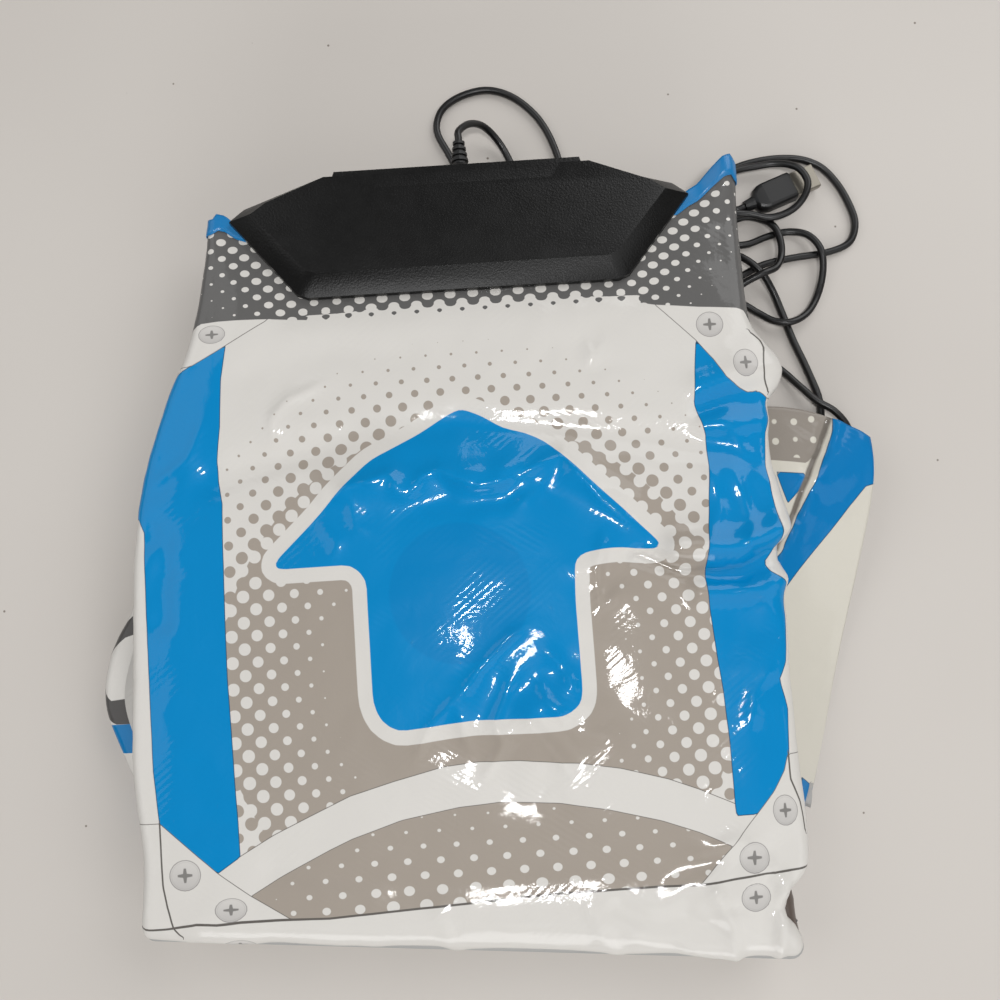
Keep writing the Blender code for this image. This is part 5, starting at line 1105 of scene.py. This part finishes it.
def make_top_row(looks, film):
    """Top row: the printed panel with its folds, and the blue edging of the mat's rear edge."""
    columns = row_columns(10, 8, 158, 12)
    stations = roll_stations(8) + flat_stations(ROLL_START_Y, COLUMN_REAR_Y, 158)
    stations += flat_stations(COLUMN_REAR_Y, MAT_REAR_Y, 20)[1:]
    points, outward, place = wrapped_row(columns, stations, top_edges, TOP_PLY_Z)
    zone = np.array([z for z, _ in columns])
    rear = table_values(REAR_CORNERS, np.clip(place[:, :, 0], *REAR_SIDES))
    past = np.maximum(points[:, :, 1] - COLUMN_REAR_Y, 0.0) / (MAT_REAR_Y - COLUMN_REAR_Y)
    points[:, :, 1] += past * (rear - MAT_REAR_Y)
    place[:, :, 1] += past * (rear - MAT_REAR_Y)

    flat = place.reshape(-1, 2)
    relief = panel_crown(flat) + panel_creases(flat)
    relief += film_height(film, flat + FILM_SHIFT) * creased_share(flat, PANEL_CREASED)
    relief = relief.reshape(points.shape[:2])
    x, y = points[:, :, 0], points[:, :, 1]
    flare = np.clip(y - BOX_FRONT_Y, 0, BOX_TIP_Y - BOX_FRONT_Y) * BOX_FLARE
    beside = np.abs(x - BOX_X) - (BOX_FRONT_HALF + BOX_MARGIN) - flare
    box_hold = smoothstep(*BOX_HOLD_Y, y) * (1 - smoothstep(0.0, BOX_HOLD_FADE, beside))
    edge = np.minimum(x - table_values(LEFT_EDGE, y), table_values(RIGHT_EDGE, y) - x)
    relief += EDGE_PLUMP * smoothstep(0.0, EDGE_PLUMP_REACH, edge) * smoothstep(*EDGE_PLUMP_Y, y)
    relief = (relief - FOAM_DEPTH + np.hypot(relief + FOAM_DEPTH, FOAM_GIVE)) / 2 * (1 - box_hold)
    turned = np.array([max(angle, ROLL_LEAST) for _, angle, _ in stations])[:, None]
    room = ROLL_REACH * (1 / np.sin(turned) - 1)
    relief = np.minimum(relief - ROLL_SINK * smoothstep(*ROLL_SINK_ANGLES, turned), room)
    relief *= np.where((zone == HIDDEN_LEFT) | (zone == HIDDEN_RIGHT), 0.0, 1.0)[None, :]
    points += outward * relief[:, :, None]
    points[:, :, 2] += smoothstep(*TIP_CURL_Y, y) * smoothstep(*TIP_CURL_BESIDE, beside) * TIP_CURL

    def keep(i, j):
        flat_part = ROLL_START_Y <= stations[j][0] and stations[j + 1][0] <= COLUMN_REAR_Y + 0.01
        return flat_part or zone[i] not in (HIDDEN_LEFT, HIDDEN_RIGHT)

    panel, spots = grid_piece("top_panel", points, place, (looks["panel"], looks["backing"]), "top_row",
                              PAD_THICK, keep=keep)
    draw_panel_print(panel.data, spots)
    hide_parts("top_row_cover", "top_row_backing", "top_row_film")
    make_edging(points, outward, columns, looks)


def make_edging(points, outward, columns, looks):
    """Blue edging folded over the mat's rear edge and sewn on: it follows the edge up to both corner tips."""
    used = [i for i, (zone, _) in enumerate(columns) if zone not in (HIDDEN_LEFT, HIDDEN_RIGHT)]
    last = len(points) - 1
    nose = np.array([0.0, EDGING_NOSE, 0.0])
    stops = [(j, EDGING_LIFT, 0.0) for j in range(last + 1 - EDGING_ROWS, last + 1)]
    stops += [(last, depth, nose) for depth in (EDGING_LIFT, *EDGING_NOSE_DEPTHS, -EDGING_REACH)]
    stops += [(j, -EDGING_REACH, 0.0) for j in range(last, last - EDGING_ROWS, -1)]
    grid = np.array([points[j, used] + outward[j, used] * depth + ahead for j, depth, ahead in stops])
    place = np.zeros((*grid.shape[:2], 2))
    place[:, :, 0] = grid[:, :, 0]
    place[:, :, 1] = np.arange(len(stops))[:, None] * EDGING_ROW_PRINT
    edging, _ = grid_piece("rear_edging", grid, place, (looks["edging"], looks["edging"]), "top_row",
                           -EDGING_THICK)
    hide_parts("rear_edge_binding")


def make_lower_rows(looks, film):
    """Middle row, print down, and bottom row, print up: plainer than the top, for only their folds show."""
    columns = row_columns(8, 8, 60, 10)
    zone = np.array([z for z, _ in columns])
    folds = (zone == LEFT_FOLD) | (zone == RIGHT_FOLD)
    flat = flat_stations(ROLL_START_Y, COLUMN_REAR_Y, 90)
    for name, front, centre_z, flipped, aside in (("middle", roll_stations(8), TOP_PLY_Z, True, 60.0),
                                                  ("bottom", [], BOTTOM_PLY_Z, False, 130.0)):
        stations = front + flat
        points, outward, place = wrapped_row(columns, stations, row_edges, centre_z)
        relief = film_height(film, place.reshape(-1, 2) + aside).reshape(points.shape[:2])
        relief *= np.where(folds, FOLD_RELIEF_SHARE, FLAT_RELIEF_SHARE)[None, :]
        points += outward * relief[:, :, None]
        if flipped:
            points[:, :, 2] = 2 * FOLD_PLANE_Z - points[:, :, 2]

        def keep(i, j):
            return zone[i] not in (HIDDEN_LEFT, HIDDEN_RIGHT) or stations[j][0] >= ROLL_START_Y

        piece, spots = grid_piece(name + "_row_pad", points, place, (looks["rows"], looks["backing"]),
                                  name + "_row", PAD_THICK, flipped, keep)
        draw_row_print(piece.data, spots)
        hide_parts(name + "_row_cover", name + "_row_backing", name + "_row_film")


def make_fold_strips(looks):
    """Padded strips of the mat round the two folds between the rows, so that the rows open without a gap."""
    columns = row_columns(1, 8, 60, 10)
    used = [i for i, column in enumerate(columns)
            if column[0] in (LEFT_FOLD, CENTRE, RIGHT_FOLD) or column == (HIDDEN_RIGHT, 0.0)]
    points, _, place = wrapped_row(columns, roll_stations(1), row_edges, TOP_PLY_Z)
    upper = points[0, used]
    lower = upper * (1, 1, -1) + (0, 0, 2 * FOLD_PLANE_Z)
    steps = range(FRONT_STRIP_STEPS, -1, -1)
    grid = np.array([upper + (lower - upper) * k / FRONT_STRIP_STEPS for k in steps])
    spot = np.repeat(place[0, used][None], len(steps), axis=0)
    spot[:, :, 1] -= (np.array(steps) * FRONT_STRIP_PRINT)[:, None]
    strip, spots = grid_piece("front_fold_strip", grid, spot, (looks["panel"], looks["backing"]), None,
                              PAD_THICK)
    draw_panel_print(strip.data, spots)
    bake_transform(strip)

    left, right = row_edges(ROW_REAR_Y)
    turns, count = REAR_STRIP_GRID
    across = np.linspace(left + REAR_STRIP_INSETS[0], right - REAR_STRIP_INSETS[1], count)
    swell = REAR_STRIP_SWELL + sum(height * np.sin(across / length) for height, length in REAR_STRIP_WAVES)
    grid = np.zeros((turns, count, 3))
    for row, turn in zip(grid, np.linspace(-math.pi / 2, math.pi / 2, turns)):
        row[:, 0] = across
        row[:, 1] = ROW_REAR_Y - REAR_STRIP_SETBACK + swell * math.cos(turn)
        row[:, 2] = REAR_STRIP_Z + REAR_STRIP_HALF * math.sin(turn)
    strip, _ = grid_piece("rear_fold_strip", grid, grid[:, :, [0, 2]].copy(),
                          (looks["backing"], looks["backing"]), None, REAR_STRIP_THICK, flip=True)
    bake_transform(strip)


def flap_surface(u, v):
    """Middle surface of the loose flap, as in the part's source."""
    across = min(max(u, 0.0), 1.0)
    rear = FLAP_REAR_Y - FLAP_REAR_CUT * across ** FLAP_CORNER_POWER
    y = FLAP_FRONT_Y + (rear - FLAP_FRONT_Y) * v
    x = FLAP_INNER_X + (smooth_value(FLAP_EDGE, y) - FLAP_INNER_X) * u
    raised = FLAP_INNER_Z - FLAP_RAISED_DROP * across
    lying = FLAP_INNER_Z - (FLAP_INNER_Z - PLY_THICK) * across * (1 + FLAP_SAG - FLAP_SAG * across)
    share = min(max((y - FLAP_LIES_Y) / FLAP_LIFT_RUN, 0.0), 1.0)
    share = share * share * (3 - 2 * share)
    return Vector((x, y, lying + (raised - lying) * share))


def make_side_flap(looks, film):
    """Side flap that slipped out of the fold: a padded sheet that hangs to the table, with a long crease."""
    rows, columns = FLAP_GRID
    grid = np.zeros((rows, columns, 3))
    outward = np.zeros_like(grid)
    for j in range(rows):
        for i in range(columns):
            u, v = i / (columns - 1), j / (rows - 1)
            along = flap_surface(u + FLAP_STEP, v) - flap_surface(u - FLAP_STEP, v)
            across = flap_surface(u, v + FLAP_STEP) - flap_surface(u, v - FLAP_STEP)
            grid[j, i] = flap_surface(u, v)
            outward[j, i] = along.cross(across).normalized()
    place = grid[:, :, :2].copy()
    spots = place.reshape(-1, 2)
    crease = line_distance(spots, FLAP_CREASE)
    outside = spots[:, 0] > table_values([(y, x) for x, y in FLAP_CREASE[::-1]], spots[:, 1])
    depth, width = FLAP_VALLEY
    relief = depth * np.exp(-(crease / width) ** 2)
    height, middle, width = FLAP_SHOULDER
    relief += height * np.exp(-((crease - middle) / width) ** 2) * outside
    relief += film_height(film, spots * FLAP_FILM_SCALE) * creased_share(spots, FLAP_CREASED)
    scale, share, width = FLAP_CRUMPLE
    relief += film_height(film, spots * scale) * share * np.exp(-(crease / width) ** 2)
    edge = np.array([smooth_value(FLAP_EDGE, y) for y in spots[:, 1]]) - spots[:, 0]
    relief *= smoothstep(*FLAP_EDGE_FADE, edge)
    points = grid + outward * (SKIN + relief.reshape(rows, columns))[:, :, None]
    flap, spots = grid_piece("side_flap", points, place, (looks["flap"], looks["backing"]), "top_row",
                             PAD_THICK)
    mark(flap.data, "grey", shape_distance(spots, FLAP_GREY))
    mark(flap.data, "stripe", nearest_shape(spots, (FLAP_BAND, FLAP_TRIANGLE, FLAP_TIP)))
    mark(flap.data, "crease", line_distance(spots, FLAP_CREASE))
    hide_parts("side_flap_cover", "side_flap_foam", "side_flap_backing")


def make_control_box(looks):
    """Upper and lower shell of the control box: merged copies of their CAD nodes' meshes, with the soft edges
    that moulding leaves."""
    for name, node, radius in SHELL_EDGES:
        bm = bmesh.new()
        bm.from_mesh(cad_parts[node].data)
        bmesh.ops.remove_doubles(bm, verts=bm.verts, dist=0.01 * MM)
        bmesh.ops.dissolve_limit(bm, angle_limit=math.radians(1.0), verts=bm.verts, edges=bm.edges)
        shell = put(name, mesh_from(bm, name))
        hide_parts(node)
        edge = shell.modifiers.new("moulded_edges", "BEVEL")
        edge.width = radius * MM
        edge.segments = 5
        edge.limit_method = "ANGLE"
        edge.angle_limit = math.radians(20)
        edge.harden_normals = True
        shell.data.shade_smooth()
        shell.data.materials.append(looks["abs"])
        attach(shell, "top_row")


def dress_nodes(looks):
    """Better finishes for the CAD nodes that keep their own shape."""
    for node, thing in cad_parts.items():
        for key, look in NODE_LOOKS.items():
            if node.startswith(key) or node.endswith(key):
                for slot in thing.material_slots:
                    slot.material = looks[look]


def light_room():
    """Soft daylight room: a pale sky all round, wide panels at both sides, and small lamps for the gloss."""
    world = bpy.data.worlds.new("pale_room")
    world.use_nodes = True
    sky = world.node_tree.nodes["Background"].inputs
    sky["Color"].default_value = linear(ROOM_GREY)
    sky["Strength"].default_value = ROOM_STRENGTH
    bpy.context.scene.world = world
    for name, place, size, power in LAMPS:
        data = bpy.data.lights.new(name, "AREA")
        data.shape = "RECTANGLE"
        data.size, data.size_y = size
        data.energy = power
        lamp = put(name, data)
        lamp.location = place
        lamp.rotation_euler = (-Vector(place)).to_track_quat("-Z", "Y").to_euler()


def lay_table():
    """Pale laminate table top: off-white with sparse fine dark specks, under the mat."""
    bm = bmesh.new()
    bmesh.ops.create_grid(bm, x_segments=1, y_segments=1, size=TABLE_HALF)
    table = put("table_top", mesh_from(bm, "table_top"))
    look, tree, shader = finish_named("table_laminate", {"Base Color": linear("#c9c4bf"), "Roughness": 0.55})
    place = add(tree, "TexCoord").outputs["Object"]
    broad = add(tree, "TexNoise", {"Scale": 4.0, "Detail": 2.0}, {"Vector": place})
    tint = over(tree, "#c0bab4", "#cbc6c0", broad.outputs["Fac"])
    cell = add(tree, "TexVoronoi", {"Scale": 1 / (13.0 * MM)}, {"Vector": place})
    speck = add(tree, "MapRange", {"From Min": 0.055, "From Max": 0.035}, {"Value": cell.outputs["Distance"]})
    chosen = add(tree, "SeparateColor", {}, {"Color": cell.outputs["Color"]})
    sparse = add(tree, "Math", {"operation": "GREATER_THAN", 1: 0.78}, {0: chosen.outputs["Red"]})
    tint = over(tree, tint, "#7d746b", both(tree, speck, sparse))
    tree.links.new(tint, shader.inputs["Base Color"])
    table.data.materials.append(look)


place_camera()

# What each plain finish gives the eye: rolled and moulded vinyl is dull and slightly uneven, and the black of
# the lead catches one broad soft highlight. Plating and zinc are metal with a blurred shine. Nylon, epoxy and
# film are smooth. Carbon ink and foam give back no highlight.
LOOKS = {
    "panel": printed_panel(),
    "flap": printed_flap(),
    "rows": printed_rows(),
    "abs": moulded_abs(),
    "relief": plain_finish("black_moulded_vinyl", "#0c0c0d", {"Roughness": 0.42, "IOR": 1.53}, 0.8, 0.12,
                           (0.36, 0.5), 0.05, 3.0),
    "sheath": plain_finish("lead_sheath_vinyl", "#0b0a0b", {"Roughness": 0.36, "IOR": 1.53}, 0.6, 0.12,
                           (0.3, 0.44), 0.05, 3.0),
}
for key, *finish in (
    ("edging", "blue_vinyl_edging", "#0f74b0", {"Roughness": 0.33, "IOR": 1.53}, 1.2, 0.2),
    ("backing", "grey_backing_vinyl", "#a4a3a1", {"Roughness": 0.62, "IOR": 1.53}, 1.0, 0.5),
    ("nickel", "nickel_plate", "#8f8a80", {"Roughness": 0.34, "Metallic": 1.0}, 0.6, 0.1),
    ("gold", "gold_plate", "#d8b060", {"Roughness": 0.25, "Metallic": 1.0}, 0.6, 0.05),
    ("nylon", "white_nylon", "#e6e3dc", {"Roughness": 0.5, "IOR": 1.53}, 0.8, 0.2),
    ("laminate", "glass_epoxy_board", "#1d6b38", {"Roughness": 0.45, "IOR": 1.55}, 1.4, 0.3),
    ("chip", "moulded_epoxy", "#1b1b1c", {"Roughness": 0.6, "IOR": 1.55}, 0.4, 0.4),
    ("steel", "zinc_plated_steel", "#a9abb0", {"Roughness": 0.35, "Metallic": 1.0}, 0.5, 0.1),
    ("film", "clear_contact_film", "#cfd1c8", {"Roughness": 0.3, "IOR": 1.57}, 2.0, 0.1),
    ("carbon", "carbon_ink", "#1f1f21", {"Roughness": 0.7}, 0.5, 0.3),
    ("foam", "open_cell_foam", "#dcdad2", {"Roughness": 0.95}, 0.9, 0.9),
    ("red", "red_wire_vinyl", "#b01818", {"Roughness": 0.4, "IOR": 1.53}, 0.5, 0.1),
    ("white", "white_wire_vinyl", "#e4e2dc", {"Roughness": 0.4, "IOR": 1.53}, 0.5, 0.1),
    ("green", "green_wire_vinyl", "#1d6e34", {"Roughness": 0.4, "IOR": 1.53}, 0.5, 0.1),
):
    LOOKS[key] = plain_finish(*finish)
lay_lead(LOOKS["sheath"])
FILM = crumpled_film(FILM_CELLS)
make_top_row(LOOKS, FILM)
make_lower_rows(LOOKS, FILM)
make_fold_strips(LOOKS)
make_side_flap(LOOKS, FILM)
make_control_box(LOOKS)
dress_nodes(LOOKS)
lay_table()
light_room()
bpy.context.scene.view_settings.view_transform = "Standard"
